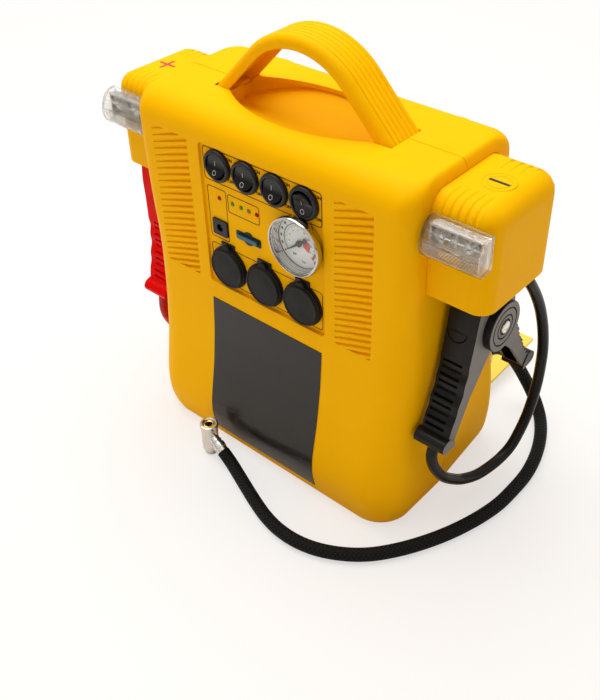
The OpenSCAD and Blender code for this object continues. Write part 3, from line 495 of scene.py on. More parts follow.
FINISH = dict(
    yellow_case=YELLOW, label=LABEL, screw=STEEL, lens=GLASS, reflector=CHROME, bulb=BULB,
    black_plastic=BLACK, rocker=ROCKER, gauge_rim=CHROME, dial=DIAL, needle=DARK, gauge_glass=THIN_GLASS,
    fuse=FUSE, green_led=LED_GREEN, red_led=LED_RED, amber_led=LED_AMBER, black_rubber=RUBBER,
    battery_case=BATTERY, brass=BRASS, steel_strap=DARK, motor=STEEL, cast=CAST, board=BOARD, nickel=NICKEL,
    hose_rubber=HOSE, cable_black=CABLE_BLACK, cable_red=CABLE_RED, clamp_black=CLAMP_BLACK,
    clamp_red=CLAMP_RED, spring_steel=STEEL, copper=COPPER,
)
SLOT = {row["node"]: row["material_slot"] for row in frame["record"]["subparts"]}
for name, node in NODES.items():
    paint(node, FINISH[SLOT[name]])
    smooth(node)
# The open rear door faces up: its paler yellow is painted glare
NODES["rear_door"].data.materials[0] = YELLOW_PAINTED_GLARE

# ---- outline of the case


def table(rows):
    """A smooth curve through given points that doesn't overshoot them."""
    xs, ys = (np.array(column, float) for column in zip(*rows))
    rise = np.diff(ys) / np.diff(xs)
    slope = np.zeros(len(xs))
    slope[0], slope[-1] = rise[0], rise[-1]
    for k in range(1, len(rise)):
        if rise[k - 1] * rise[k] > 0:
            slope[k] = 2 * rise[k - 1] * rise[k] / (rise[k - 1] + rise[k])

    def at(x):
        x = min(max(x, xs[0]), xs[-1])
        k = min(int(np.searchsorted(xs, x, side="right")) - 1, len(xs) - 2)
        h = xs[k + 1] - xs[k]
        t = (x - xs[k]) / h
        s = 1 - t
        rise_here = h * t * s * (slope[k] * s - slope[k + 1] * t)
        return float(ys[k] * (1 + 2 * t) * s * s + ys[k + 1] * t * t * (3 - 2 * t) + rise_here)

    return at


CASE_H, TOP_W, LOW_W, TOP_D, BELLY_D, BACK_D = 273, 117, 119.5, 56, 70.2, 75
BELLY_Z, BELLY_TOP, BACK_TOP, WALL = 28, 165, 145, 3
TOP_R, SIDE_R, FRONT_R, BACK_R = 18, 11, 29, 12
FOOT_Z, FOOT_IN, FOOT_SIDE_IN, BACK_TAPER = 14, 6.2, 3.7, 5
BULGE = table(
    [(0, 1), (0.06, 0.97), (0.13, 0.86), (0.2, 0.73), (0.28, 0.58), (0.35, 0.465), (0.44, 0.345), (0.54, 0.225),
     (0.66, 0.135), (0.77, 0.065), (0.89, 0.015), (1, 0)]
)
CORNER = table(
    [(0, 0.24), (20, 0.08), (33, 0), (68, 0.1), (93, 0.23), (142, 0.45), (167, 0.6), (183, 0.75), (208, 0.9),
     (240, 1)]
)


def round_in(t):
    return 1 - sqrt(max(0.0, 1 - t * t)) if t > 0 else 0.0


def wave(t):
    return (1 + cos(pi * min(max(t, 0), 1))) / 2


def depth_at(z, deepest, shape, top):
    """Depth of the front or the back at a height, with its round top edge, belly and foot."""
    if z > CASE_H - TOP_R:
        return TOP_D - TOP_R * round_in((z - CASE_H + TOP_R) / TOP_R)
    if z > BELLY_Z:
        return TOP_D + (deepest - TOP_D) * shape((z - BELLY_Z) / (top - BELLY_Z))
    return deepest - FOOT_IN * ((BELLY_Z - z) / BELLY_Z) ** 1.7


def front_at(z):
    return depth_at(z, BELLY_D, BULGE, BELLY_TOP)


def back_at(z):
    return depth_at(z, BACK_D, wave, BACK_TOP)


def half_w(z):
    if z > CASE_H - SIDE_R:
        return TOP_W - 5 * round_in((z - CASE_H + SIDE_R) / SIDE_R)
    if z > FOOT_Z:
        return TOP_W + (LOW_W - TOP_W) * wave((z - 30) / 220)
    return LOW_W - FOOT_SIDE_IN * ((FOOT_Z - z) / FOOT_Z) ** 1.8


def quarter(x, y, r, start, n=16):
    angles = [radians(start + 90 * k / n) for k in range(n + 1)]
    return [(x + r * cos(a), y + r * sin(a)) for a in angles]


def level(z, at=None, in_w=0.0, in_d=0.0, in_r=0.0):
    """One level of the case, from its height on the outside."""
    w, f, b = half_w(z) - in_w, front_at(z) - in_d, back_at(z) - in_d
    wb = w - BACK_TAPER * max(0, 1 - z / 190)
    r, rb = FRONT_R - 16.5 * CORNER(z) - in_r, BACK_R - in_r
    flat = (
        [(w, 0)] + quarter(wb - rb, b - rb, rb, 0) + quarter(rb - wb, b - rb, rb, 90)
        + [(-w, 0)] + quarter(r - w, r - f, r, 180) + quarter(w - r, r - f, r, 270)
    )
    return [(x, y, z if at is None else at) for x, y in flat]


LEVELS = (
    [0, 0.5, 1.2, 2.2, 3.5, 5, 7, 9, 11.5, 14, 17, 20, 23, 26, 28] + list(range(32, 253, 4))
    + [CASE_H - TOP_R + TOP_R * sin(radians(a)) for a in range(0, 91, 5)]
)


def case_outer():
    return skin("case_outer", [level(z) for z in LEVELS])


def case_inner():
    squeeze = (CASE_H - 2 * WALL) / CASE_H
    return skin("case_inner", [level(z, WALL + z * squeeze, 9, WALL, 8) for z in LEVELS[::3] + [CASE_H]])


def block(x0, x1, y0, y1, z0, z1):
    return prism("block", "z", [(x0, y0), (x1, y0), (x1, y1), (x0, y1)], z0, z1)


def rounded(x0, x1, z0, z1, r, n=8):
    """Outline of a rectangle with round corners."""
    return (
        quarter(x1 - r, z1 - r, r, 0, n) + quarter(x0 + r, z1 - r, r, 90, n)
        + quarter(x0 + r, z0 + r, r, 180, n) + quarter(x1 - r, z0 + r, r, 270, n)
    )

def hoop(axis, centre, r0, r1, lo, hi, n=72):
    """A plain ring between two radii."""
    return ring("hoop", axis, centre, [(r0, lo), (r1, lo), (r1, hi), (r0, hi)], n)


def move(target, matrix):
    """Moves the mesh itself, and turns its faces outwards again if it was mirrored."""
    target.data.transform(matrix)
    if matrix.determinant() < 0:
        target.data.flip_normals()
    return target


def shifted(x, y, z):
    return Matrix.Translation((x * MM, y * MM, z * MM))


def turned(axis, degrees):
    return Matrix.Rotation(radians(degrees), 4, axis)


MIRROR = Matrix.Scale(-1, 4, (1, 0, 0))


def join(name, parts):
    """Puts several meshes into one object."""
    work = bmesh.new()
    for part in parts:
        work.from_mesh(part.data)
    for part in parts:
        bpy.data.objects.remove(part)
    return from_bmesh(name, work)


def hull(name, points):
    """Convex skin round a cloud of points."""
    work = bmesh.new()
    for x, y, z in points:
        work.verts.new((x * MM, y * MM, z * MM))
    made = bmesh.ops.convex_hull(work, input=work.verts)
    loose = [v for v in made["geom_interior"] if isinstance(v, bmesh.types.BMVert)]
    bmesh.ops.delete(work, geom=loose, context="VERTS")
    bmesh.ops.dissolve_limit(work, angle_limit=0.004, verts=work.verts, edges=work.edges)
    bmesh.ops.recalc_face_normals(work, faces=work.faces)
    return from_bmesh(name, work)


def ball(x, y, z, r, n=10):
    """Points of a sphere."""
    return [
        (x + r * cos(b) * cos(a), y + r * cos(b) * sin(a), z + r * sin(b))
        for b in (pi * (j / n - 0.5) for j in range(n + 1))
        for a in (pi * i / n for i in range(2 * n))
    ]


# ---- handle, finger well, holster outlines

HANDLE_C, HANDLE_BEND, HANDLE_LEG, HANDLE_Y = 263, 46, 58, (-17, 13)


def strap(name, section):
    """Carries a section of (distance from the bend's centre, depth) along the handle."""
    reach, leg = HANDLE_BEND, HANDLE_LEG
    bend = [(a, 0) for a in range(2 - reach, reach, 2)]
    rings = []
    for degrees, along in [(-reach, -leg), (-reach, 0)] + bend + [(reach, 0), (reach, leg)]:
        c, s = cos(radians(degrees)), sin(radians(degrees))
        rings.append([(r * s + along * c, y, HANDLE_C + r * c - along * s) for r, y in section])
    return skin(name, rings)


def strap_block(grow=0.3):
    """The space of the handle, a little larger all round."""
    y0, y1 = HANDLE_Y[0] - grow, HANDLE_Y[1] + grow
    return strap("strap", [(51 - grow, y0), (60 + grow, y0), (60 + grow, y1), (51 - grow, y1)])


def well_plan(grow):
    """Outline of the finger well between a front and a back arc."""
    rows = []
    for k in range(49):
        x = (64 + grow) * sin(pi * (k / 48 - 0.5))
        front, back = 68 - sqrt((104 + grow) ** 2 - x * x), sqrt((122.8 + grow) ** 2 - x * x) - 96.8
        if front < back:
            rows.append((x, front, back))
    return [(x, front) for x, front, _ in rows] + [(x, back) for x, _, back in reversed(rows)]


WELL_FLOOR = table(
    [(-38, 273), (-30, 268.6), (-20, 264.2), (-10, 260.9), (0, 259.1), (7, 259.6), (14, 262), (20, 265),
     (25, 268.2), (28, 270.4)]
)


def well_space(grow=0.0, drop=0.0):
    """The space of the finger well, grown sideways and let down."""
    floor = [(y, WELL_FLOOR(y) - drop) for y in np.linspace(-38, 28, 34)]
    side = floor + [(34, 271 - drop), (34, 290), (-44, 290), (-44, CASE_H - drop)]
    plan = prism("well", "z", well_plan(grow), 240, 300)
    return carve(plan, [prism("well_side", "x", side, -80, 80)], "INTERSECT")


EAR_X, EAR_Y, EAR_Z = (114, 160), (-36, 39), (197.5, 265.5)
EAR_FRONT_R, EAR_BACK_R, EAR_CORNER_R = 12, 14, 11


def ear_side(t):
    """Side outline of a holster, drawn in by t."""
    (y0, y1), z1 = EAR_Y, EAR_Z[1]
    rf, rb = EAR_FRONT_R, EAR_BACK_R
    z0 = EAR_Z[0] - abs(t)
    return (
        [(y0 + t, z0), (y1 - t, z0)] + quarter(y1 - rb, z1 - rb, rb - t, 0, 12)
        + quarter(y0 + rf, z1 - rf, rf - t, 90, 12)
    )


def ear_body(t=0, z0=EAR_Z[0]):
    """The soft-edged block of a holster, drawn in by t."""
    (x0, x1), (y0, y1), z1 = EAR_X, EAR_Y, EAR_Z[1]
    rf, rb, rc = EAR_FRONT_R, EAR_BACK_R, EAR_CORNER_R
    cloud = ball(x1 - rf, y0 + rf, z1 - rf, rf - t) + ball(x1 - rb, y1 - rb, z1 - rb, rb - t)
    cloud += disc("x", (y0 + rf, z1 - rf), rf - t, x0 + t) + disc("x", (y1 - rb, z1 - rb), rb - t, x0 + t)
    cloud += disc("z", (x1 - rc, y0 + rc), rc - t, z0) + disc("z", (x1 - rb, y1 - rb), rb - t, z0)
    cloud += [(x0 + t, y0 + t, z0), (x0 + t, y1 - t, z0)]
    return hull("ear", cloud)


# ---- case shells

PANEL_Y = -54
SWITCHES = [(25 * k, 240) for k in (-1.5, -0.5, 0.5, 1.5)]
SOCKETS = [(34 * k, 162) for k in (-1, 0, 1)]
GAUGE = GX, GZ = 33.4, 209.5
LIGHTS_Z, RED_LIGHTS, GREEN_LIGHTS, AMBER_LIGHT = 215, [-39.2, -4.9], [-27, -19.1], -12.1
RIB_X, HINGE, HOSE_EXIT, GLAND = 76.3, (74.6, 13.4), (101, 70), (44, 182)
SCREWS = [(x, z) for x in (-40, 40) for z in (134, 250)]


def sides(make):
    """The same tool on the right and on the left."""
    return [make(), move(make(), MIRROR)]


seats = sides(lambda: prism("seat", "x", ear_side(-0.3), 113.8, 134))
front_shell = carve(case_outer(), [case_inner(), strap_block(), well_space()] + seats)
rear_shell = linked("rear_shell", front_shell.data.copy())
carve(front_shell, [block(-200, 200, -200, 0, -10, 400)], "INTERSECT")
carve(rear_shell, [block(-200, 200, 0, 200, -10, 400)], "INTERSECT")
carve(front_shell, [block(-56, 56, PANEL_Y - 0.5, PANEL_Y + 3, 142, 255)], "UNION")
carve(front_shell, [prism("panel", "y", rounded(-53.5, 53.5, 144, 253, 3), -62, PANEL_Y)])

# Vents: each slat leans back towards its lower edge, and the groove runs out at its left end
SLAT = [(-3, 1.5), (-3, -1.5), (0.1, -1.5), (1.9, -0.95), (1.55, -0.2), (0.0, 1.5)]
SLAT_SINK = table([(-24, -1.3), (-8, -0.35), (8, 0.0), (24, 0.1)])
grooves = []
for x0, x1 in ((-98, -64.3), (62.4, 92)):
    cutters = []
    for k in range(25):
        rows = [[(x, y + 1.5 * SLAT_SINK(x), z) for y, z in SLAT] for x in range(-24, 25, 6)]
        seat = shifted((x0 + x1) / 2, -TOP_D, 139 + 5.05 * k) @ turned("Y", -18)
        cutters.append(move(skin("groove", rows), seat))
    edge = prism("edge", "y", rounded(x0, x1, 144, 252, 1.5), -80, -40)
    grooves.append(carve(join("field", cutters), [edge], "INTERSECT"))
carve(front_shell, grooves)

HOLE = (-60, -48)
holes = [bar("y", at, 10.2, *HOLE) for at in SWITCHES] + [bar("y", at, 13.2, *HOLE) for at in SOCKETS]
holes += [bar("y", GAUGE, 18.3, *HOLE)]
for box in ((-45.7, -34.3, 186.8, 197.2), (-24, -3.6, 190.6, 195.4)):
    holes.append(prism("hole", "y", rounded(*box, 1), *HOLE))
holes += [bar("y", (x, LIGHTS_Z), 1.7, *HOLE, 24) for x in sorted(RED_LIGHTS + GREEN_LIGHTS + [AMBER_LIGHT])]
carve(front_shell, holes)

# The finger well hangs under the top as a thin bowl
under = carve(well_space(2.3, -0.3), [block(-80, 80, 0, 60, 240, 269.7)], "INTERSECT")
above = [block(-80, 80, -60, 0, 272, 300), block(-80, 80, 0, 60, 269.6, 300)]
well = carve(well_space(4.5, 2.5), [well_space(), under, strap_block()] + above)
carve(front_shell, [well], "UNION")

ribs = []
for x in (-RIB_X, RIB_X):
    top = [(258 + 8 * sin(radians(a)), 7 + 8 * cos(radians(a))) for a in range(0, 91, 10)]
    rib = rod("rib", "z", (x, 47), [(98, 15)] + top, 72)
    carve(rib, [block(x - 20, x + 20, 53.5, 95, 90, 290)], "INTERSECT")
    ribs.append(carve(rib, [case_inner()]))
carve(rear_shell, ribs, "UNION")
for x0, x1 in ((-76, -62), (-7, 7), (62, 76)):
    knuckle = [bar("x", HINGE, 2.4, x0, x1, 32), block(x0, x1, 69.6, 74.6, 11, 13.4)]
    carve_each(rear_shell, knuckle, "UNION")
cuts = [block(-90.6, 90.6, 40, 100, 17.4, 116.6), bar("x", HINGE, 1.3, -100, 100, 24)]
cuts += [bar("x", HINGE, 3, x - 8.6, x + 8.6, 32) for x in (-53, 53)]
cuts += [bar("y", HOSE_EXIT, 7.2, 40, 90, 48)] + sides(lambda: bar("x", GLAND, 7.8, 90, 130, 48))
for at in SCREWS:
    cuts += [bar("y", at, 4.6, 54.5, 90, 32), bar("y", at, 2.2, 40, 55, 24)]
carve_each(rear_shell, cuts)
room = carve(well_space(4.8, 2.8), [block(-80, 80, -1, 79, 240, 269.9)], "INTERSECT")
carve(rear_shell, [room])

# A fine groove where the shells meet
SHRINK = shifted(0, 0, CASE_H / 2) @ Matrix.Diagonal((0.9975, 1, 0.9975, 1)) @ shifted(0, 0, -CASE_H / 2)
for shell in (front_shell, rear_shell):
    carve(shell, [carve(block(-130, 130, -0.2, 0.2, -5, 280), [move(case_outer(), SHRINK)])])
show(front_shell, YELLOW, "front_shell")
show(rear_shell, YELLOW, "rear_shell")

# ---- handle

strip = []
for k in range(6):
    y = HANDLE_Y[0] + 5.4 + 4 * k
    strip += [(59.9, y - 0.9), (59.45, y), (59.95, y + 0.5)]
section = (
    quarter(54.8, -11.8, 5.2, 270, 10) + strip + quarter(57.2, 10.2, 2.8, 0, 6) + [(51, 13), (51, 10.8)]
    + [(56.4, 10.2), (57.3, 9.2), (57.3, -13.2), (56.4, -14.2), (51, -14.6), (51, -17)]
)
handle = carve(strap("handle", section), [block(-200, 200, -100, 100, 264, 400)], "INTERSECT")
carve_each(handle, sides(lambda: block(67.2, 89, -19, 15, 266.5, 269.7)), "UNION")
show(handle, YELLOW, "carry_handle")

# ---- holsters and lamps


def frames_along(path):
    """Side vectors along a route that turn as little as possible."""
    points = [Vector(p) for p in path]
    last, found = Vector((0.1, 0.2, 1.0)), []
    for k in range(len(points)):
        along = (points[min(k + 1, len(points) - 1)] - points[max(k - 1, 0)]).normalized()
        last = (last - along * last.dot(along)).normalized()
        found.append((last.copy(), along.cross(last)))
    return points, found


def tube(name, path, r, n=24, mapped=False):
    """Round tube along a route; mapped writes turns and centimetres along it into a UV map."""
    points, sides_at = frames_along(path)
    angles = [2 * pi * i / n for i in range(n)]
    rings = [[tuple(p + r * (cos(a) * u + sin(a) * v)) for a in angles] for p, (u, v) in zip(points, sides_at)]
    made = skin(name, rings)
    if mapped:
        run = [0.0]
        for a, b in zip(points, points[1:]):
            run.append(run[-1] + (b - a).length)
        layer = made.data.uv_layers.new(name="along")
        for polygon in made.data.polygons:
            corners = [(i, made.data.loops[i].vertex_index) for i in polygon.loop_indices]
            wraps = len(corners) == 4 and any(k % n == n - 1 for _, k in corners)
            for i, k in corners:
                layer.data[i].uv = ((n if wraps and k % n == 0 else k % n) / n, run[k // n] / 10)
    return made


def flow(points, steps=4):
    """A smooth open curve through points."""
    found = []
    for k in range(len(points) - 1):
        a, b, c, d = (np.array(points[min(max(k + j, 0), len(points) - 1)], float) for j in (-1, 0, 1, 2))
        for t in (i / steps for i in range(steps)):
            bend = (2 * a - 5 * b + 4 * c - d) * t * t
            found.append(tuple(0.5 * (2 * b + (c - a) * t + bend + (3 * b - a - 3 * c + d) * t ** 3)))
    return found + [tuple(float(v) for v in points[-1])]


def strip_between(name, first, second, y0, y1, closed=False):
    """A flat strip between two lines on a plane of constant Y."""
    rings = []
    for a, b in zip(first, second):
        rings.append([(a[0], y0, a[1]), (b[0], y0, b[1]), (b[0], y1, b[1]), (a[0], y1, a[1])])
    return skin(name, rings, closed)


def line(outline, width, y0, y1):
    """A printed closed line on a plane of constant Y."""
    points = [Vector(p) for p in outline]
    outer, inner = [], []
    for before, p, after in zip(points[-1:] + points, points, points[1:] + points[:1]):
        along = (after - before).normalized()
        side = Vector((-along.y, along.x)) * width / 2
        outer.append(tuple(p + side))
        inner.append(tuple(p - side))
    return strip_between("line", outer, inner, y0, y1, closed=True)


def holster(side):
    body, inner = ear_body(), ear_body(2, 180)
    carve_each(inner, (block(x0, x1, -8, -5, 205.5, 245.5) for x0, x1 in ((112, 122.1), (144.9, 170))))
    carve(body, [inner])
    top, front = EAR_Z[1], EAR_Y[0]
    edge_y, edge_z = front + EAR_FRONT_R, top - EAR_FRONT_R
    tools = []
    for k in range(5):
        x = 125 + 5.3 * k
        bend = [(x, edge_y - 13.6 * sin(radians(a)), edge_z + 13.6 * cos(radians(a))) for a in range(0, 91, 9)]
        run_in, run_out = [(x, -12, top + 2.5), (x, -17, top + 1.8)], [(x, front - 1.8, top - 15)]
        tools.append(tube("flute", run_in + bend + run_out + [(x, front - 2.7, top - 20)], 2.3, 20))
    for x in (130.5, 136.8, 142.8, 148.6):
        route = [(x, 14, top + 1.2), (x, 15.5, top + 0.75), (x, 25, top + 0.7), (x + 0.3, 30, top - 0.6)]
        tools.append(tube("grip", route, 1.15, 16))
    carve_each(body, tools)
    if side < 0:
        return move(body, MIRROR)
    for r in (7.0, 10.3):
        mark = [(r - 0.28, top - 0.4), (r + 0.28, top - 0.4), (r + 0.12, top + 0.16), (r - 0.12, top + 0.16)]
        carve(body, [ring("mark", "z", (138.6, 0.2), mark)], "UNION")
    return body


for side, word in SIDES:
    show(holster(side), YELLOW, "holster_" + word)
MARK = (265.4, 265.62)
show(prism("minus_mark", "z", rounded(131.4, 145.8, -0.9, 1.3, 0.25, 3), *MARK), BLACK, slot="black_plastic")
plus = prism("plus_mark", "z", rounded(-145.6, -130.8, -3.3, -1.1, 0.2, 3), *MARK)
carve(plus, [prism("upright", "z", rounded(-139.3, -137.1, -9.2, 4.6, 0.2, 3), *MARK)], "UNION")
show(plus, RED_PRINT, slot="clamp_red")

LENS_BACK, LENS_TOP, LENS_LOW = -36.2, 255.5, 232.8
LENS_CURVE = [
    (-39, LENS_TOP), (-41.5, 255.1), (-44.5, 253.3), (-47.2, 249.6), (-49, 245), (-49.6, 240.5), (-48.8, 236),
    (-47.2, LENS_LOW),
]
BULBS = ((130.2, 247.2), (148.4, 247.2))
BOWL_SIDE = [(2.2, -38.4), (2.6, -39.2), (4.6, -41.4), (5.2, -41.9), (5.6, -41.6), (5.2, -40.4), (3.6, -38.2)]
BULB_SIDE = [(-38.5, 1.2), (-41, 1.3), (-42.6, 1.7), (-43.6, 1.6), (-44.2, 1.1), (-44.5, 0.5)]


def lens_side(t=0.0):
    """Side outline of the lens, drawn in by t."""
    outside = [(LENS_BACK, LENS_TOP)] + flow(LENS_CURVE, 5)
    found = []
    for before, p, after in zip(outside[:1] + outside, outside, outside[1:] + outside[-1:]):
        along = (Vector(after) - Vector(before)).normalized()
        found.append((p[0] - along.y * t, p[1] + along.x * t))
    found[0], found[-1] = (LENS_BACK, LENS_TOP - t), (found[-1][0], LENS_LOW + t)
    return found + [(LENS_BACK, LENS_LOW + t)]


def lamp(side):
    """Lens, ribbed sheet, mirror with two bowls, and two bulbs."""
    lens = prism("lamp_lens", "x", lens_side(), 119, 160)
    carve(lens, [prism("inside", "x", lens_side(1.7), 120.9, 158.2)])
    # Flutes along the inside of the front wall
    wall = table([(z, y) for y, z in reversed(LENS_CURVE)])
    for z in (242.6, 248.6):
        carve(lens, [block(120.4, 158.6, wall(z) + 0.9, wall(z) + 2.9, z - 0.35, z + 0.35)], "UNION")
    band = [p for p in lens_side(1.9) if p[1] < 243.6][:-1]
    diffuser = prism("lamp_diffuser", "x", band + [(y + 0.55, z) for y, z in reversed(band)], 121.2, 157.9)
    hole = bar("y", (0, 0), 1, -60, -30, 48)
    carve(diffuser, [move(hole, shifted(139.5, 0, 239) @ Matrix.Diagonal((8.2, 1, 3.3, 1)))])
    for k in range(18):
        rib = block(122 + 2 * k, 122.6 + 2 * k, -47.2 + 0.02 * k, -36.7, 234.7, 235.5)
        carve(diffuser, [rib], "UNION")
    (x0, x1), (z0, z1), wall_t = (121.6, 157.4), (235.6, 252.4), 1.4
    back = block(x0, x1, -38.6, -36.5, z0, z1)
    walls = [(x0, x0 + wall_t, z0, z1), (x1 - wall_t, x1, z0, z1), (x0, x1, z1 - wall_t, z1)]
    for a, b, low, high in walls + [(138.8, 140.4, 243, z1)]:
        carve(back, [block(a, b, -42.3, -37, low, high)], "UNION")
    carve_each(back, (ring("bowl", "y", at, BOWL_SIDE, 40) for at in BULBS), "UNION")
    bulb = join("lamp_bulb", [rod("bulb", "y", at, BULB_SIDE, 24) for at in BULBS])
    parts = [lens, diffuser, back, bulb]
    return parts if side > 0 else [move(part, MIRROR) for part in parts]


reflectors, bulbs = [], []
for side, word in SIDES:
    lens, diffuser, back, bulb = lamp(side)
    show(lens, GLASS, "lamp_lens_" + word, angle=40)
    show(diffuser, RIBBED, slot="lens", name="lamp_diffuser_" + word)
    reflectors.append(back)
    bulbs.append(bulb)
show(join("lamp_reflector_pair", reflectors), MIRRORS, "lamp_reflectors")
show(join("lamp_bulb_pair", bulbs), BULB, "lamp_bulbs")

# ---- switches

BEZEL = [(-38, 10), (-54, 10), (-54, 11.5), (-55.4, 11.5), (-56.5, 11.2), (-57.1, 10.5), (-57.2, 9.9)]
BEZEL_BORE = [(-44, 8.6), (-56.3, 8.6), (-57.3, 9.1), (-64, 9.1)]
bezels = [carve(rod("bezel", "y", at, BEZEL, 96), [rod("bore", "y", at, BEZEL_BORE, 96)]) for at in SWITCHES]
show(join("switch_bezels", bezels), BLACK, "switch_bodies", angle=40)


def rocker(shift=0.0):
    """A round rocker with its dished face, moved along its depth by shift."""
    dish = [(-6.4, -8.2), (-5.5, -5.2), (-4.6, -2.4), (-4.3, -1.2)]
    face = dish + [(-4.2, 0)] + [(y, -z) for y, z in reversed(dish)] + [(3, 8.2), (3, -8.2)]
    body = rod("rocker", "y", (0, 0), [(4, 8.0), (-6.0, 8.0), (-6.5, 7.6), (-6.7, 7.0)], 96)
    carve(body, [prism("face", "x", face, -10, 10)], "INTERSECT")
    return move(body, shifted(0, shift, 0))


for k, (x, z) in enumerate(SWITCHES, 1):
    seat = shifted(x, PANEL_Y + 2, z) @ turned("X", -9 if k < 4 else 9)
    one = move(rocker(), seat)
    carve(one, [move(bar("x", (0, 0), 1.2, -8.3, 8.3, 24), seat)], "UNION")
    show(one, ROCKER, f"rocker_{k}", f"rocker_{k}_body")
    o_shape = hoop("y", (-0.3, -4.8), 1.3, 1.65, -9, 0, 48)
    i_shape = prism("i", "y", rounded(-1.2, -0.85, -0.4, 2.8, 0.1, 3), -9, 0)
    marks = carve(join("marks", [o_shape, i_shape]), [rocker(-0.07)], "INTERSECT")
    carve(marks, [rocker()])
    show(move(marks, seat), WHITE, body=f"rocker_{k}_body", slot="dial", name=f"rocker_{k}_marks")

# ---- gauge

DIAL_Y, DIAL_R, HUB_R = -55.2, 17.85, 1.3
RIM_SIDE = [
    (17.9, -54), (18.9, -54), (18.9, -57), (20.2, -57.6), (20.9, -58.4), (21.15, -59.6), (21.15, -61.2),
    (20.95, -62.2), (20.5, -62.85), (20.0, -63), (19.6, -62.8), (19.4, -62.2), (19.35, -61.5), (18.95, -61.3),
    (18.9, -60.2), (18.6, -60.0), (18.55, -58.6), (18.25, -58.4), (18.2, -57.0), (17.95, -56.8), (17.9, -55.6),
]
case = rod("gauge_body", "y", GAUGE, [(-26, 5), (-34, 5), (-34, 18), (-54.2, 18), (-54.2, 17.8)], 96)
show(join("gauge_rim", [case, ring("rim", "y", GAUGE, RIM_SIDE, 128)]), RIM, "gauge_case", angle=24)
seal = ring("gauge_seal", "y", GAUGE, [(17.75, -55.3), (18.05, -55.3), (18.05, -55.9), (17.9, -55.9)], 96)
show(seal, RUBBER, slot="black_rubber")
face = rod("dial", "y", GAUGE, [(-54.2, DIAL_R), (DIAL_Y, DIAL_R)], 128)
show(carve(face, [bar("y", GAUGE, HUB_R, -60, -54, 24)]), DIAL, "gauge_dial")
show(rod("gauge_window", "y", GAUGE, [(-61.0, 18.8), (-61.3, 18.8)], 96), THIN_GLASS, "gauge_glass", angle=50)


def polar(r, degrees):
    return GX + r * cos(radians(degrees)), GZ + r * sin(radians(degrees))


def arc(r0, r1, a0, a1, n=24):
    """A printed arc of the dial between two radii."""
    turns = [a0 + (a1 - a0) * k / n for k in range(n + 1)]
    inner, outer = ([polar(r, a) for a in turns] for r in (r0, r1))
    return strip_between("arc", inner, outer, DIAL_Y - 0.1, DIAL_Y + 0.1)


def words(body, at, size, y, turn=0.0, bold=0.05):
    """Printed characters on a plane of constant Y."""
    curve = bpy.data.curves.new("words", "FONT")
    curve.body, curve.size, curve.extrude, curve.offset = body, size * MM, 0.06 * MM, bold * MM
    curve.align_x, curve.align_y = "CENTER", "CENTER"
    curve.resolution_u = 3
    made = linked("words", curve)
    mesh = bpy.data.meshes.new_from_object(made.evaluated_get(bpy.context.evaluated_depsgraph_get()))
    bpy.data.objects.remove(made)
    seat = shifted(at[0], y, at[1]) @ turned("X", 90) @ turned("Z", turn)
    return move(linked("words", mesh), seat)


DIAL_START, DIAL_SWEEP, PRINT_Y = 218, 256, DIAL_Y - 0.04


def scale(count, make, step=1):
    """Marks at every step of a scale with so many divisions."""
    return [make(k, DIAL_START - DIAL_SWEEP * k / count) for k in range(0, count + 1, step)]


black = [arc(13.15, 13.5, DIAL_START - DIAL_SWEEP, DIAL_START, 64)]
black += scale(52, lambda k, a: arc(13.4, 14.6 if k % 4 == 0 else 14.0, a - 0.6, a + 0.6, 1))
green = scale(34, lambda k, a: arc(11.6 if k % 2 else 10.9, 12.5, a - 0.7, a + 0.7, 1))
black += scale(13, lambda k, a: words(str(20 * k), polar(15.9, a), 2.1, PRINT_Y, a - 90, 0.09))
green += scale(17, lambda k, a: words(str(k), polar(9.2, a), 1.7, PRINT_Y, a - 90), 2)
black.append(words("psi", (GX - 4.8, GZ - 9.6), 2.6, PRINT_Y))
green.append(words("bar", (GX + 3.0, GZ - 13.2), 2.4, PRINT_Y))
show(join("dial_scale_black", black), INK, slot="needle")
show(join("dial_scale_green", green), GREEN_INK, slot="green_led")
show(join("dial_zones_red", [arc(2.5, 8.4, -34, 22), arc(12.2, 13.6, -40, -14)]), RED_INK, slot="red_led")
show(arc(12.1, 13.1, 74, 108), AMBER_INK, slot="amber_led", name="dial_zone_yellow")

# The pointer's outline is the same on both sides, and its hub stands on a thin shaft
POINTER = [(-7.6, -1.5), (-6.4, -1.75), (-4.6, -0.8), (0, -1.0), (6, -0.62), (15.2, -0.16)]
pointer = POINTER + [(x, -z) for x, z in reversed(POINTER)]
needle = prism("pointer", "y", pointer, DIAL_Y - 1.5, DIAL_Y - 0.9)
for steps in ([(-2.1, 1.6), (-1.9, 2.2), (-0.7, 2.2)], [(-0.8, 0.9), (0.8, 0.9)]):
    carve(needle, [rod("hub", "y", (0, 0), [(DIAL_Y + y, r) for y, r in steps], 32)], "UNION")
move(needle, shifted(GX, 0, GZ) @ turned("Y", -DIAL_START))
show(needle, DARK, "gauge_needle", "needle_body")

# ---- panel prints, lights, sockets, label

FRAMES = (
    (-51.3, 50.9, 226.6, 250.6, 2.4), (-50, -32.9, 182.6, 222, 1.8), (-31.2, -2.9, 207.4, 221, 1.8),
    (-50.6, 50.4, 146.8, 177, 2.4),
)
prints = [line(rounded(*box, 5), 0.6, PANEL_Y - 0.05, PANEL_Y + 0.3) for box in FRAMES]
for x, _ in SWITCHES:
    prints.append(words("ON", (x + 10.6, 247.1), 3.0, PANEL_Y - 0.04, bold=0.11))
    prints.append(words("OFF", (x + 11.0, 231.6), 3.0, PANEL_Y - 0.04, bold=0.11))
show(join("panel_print", prints), INK, slot="label")

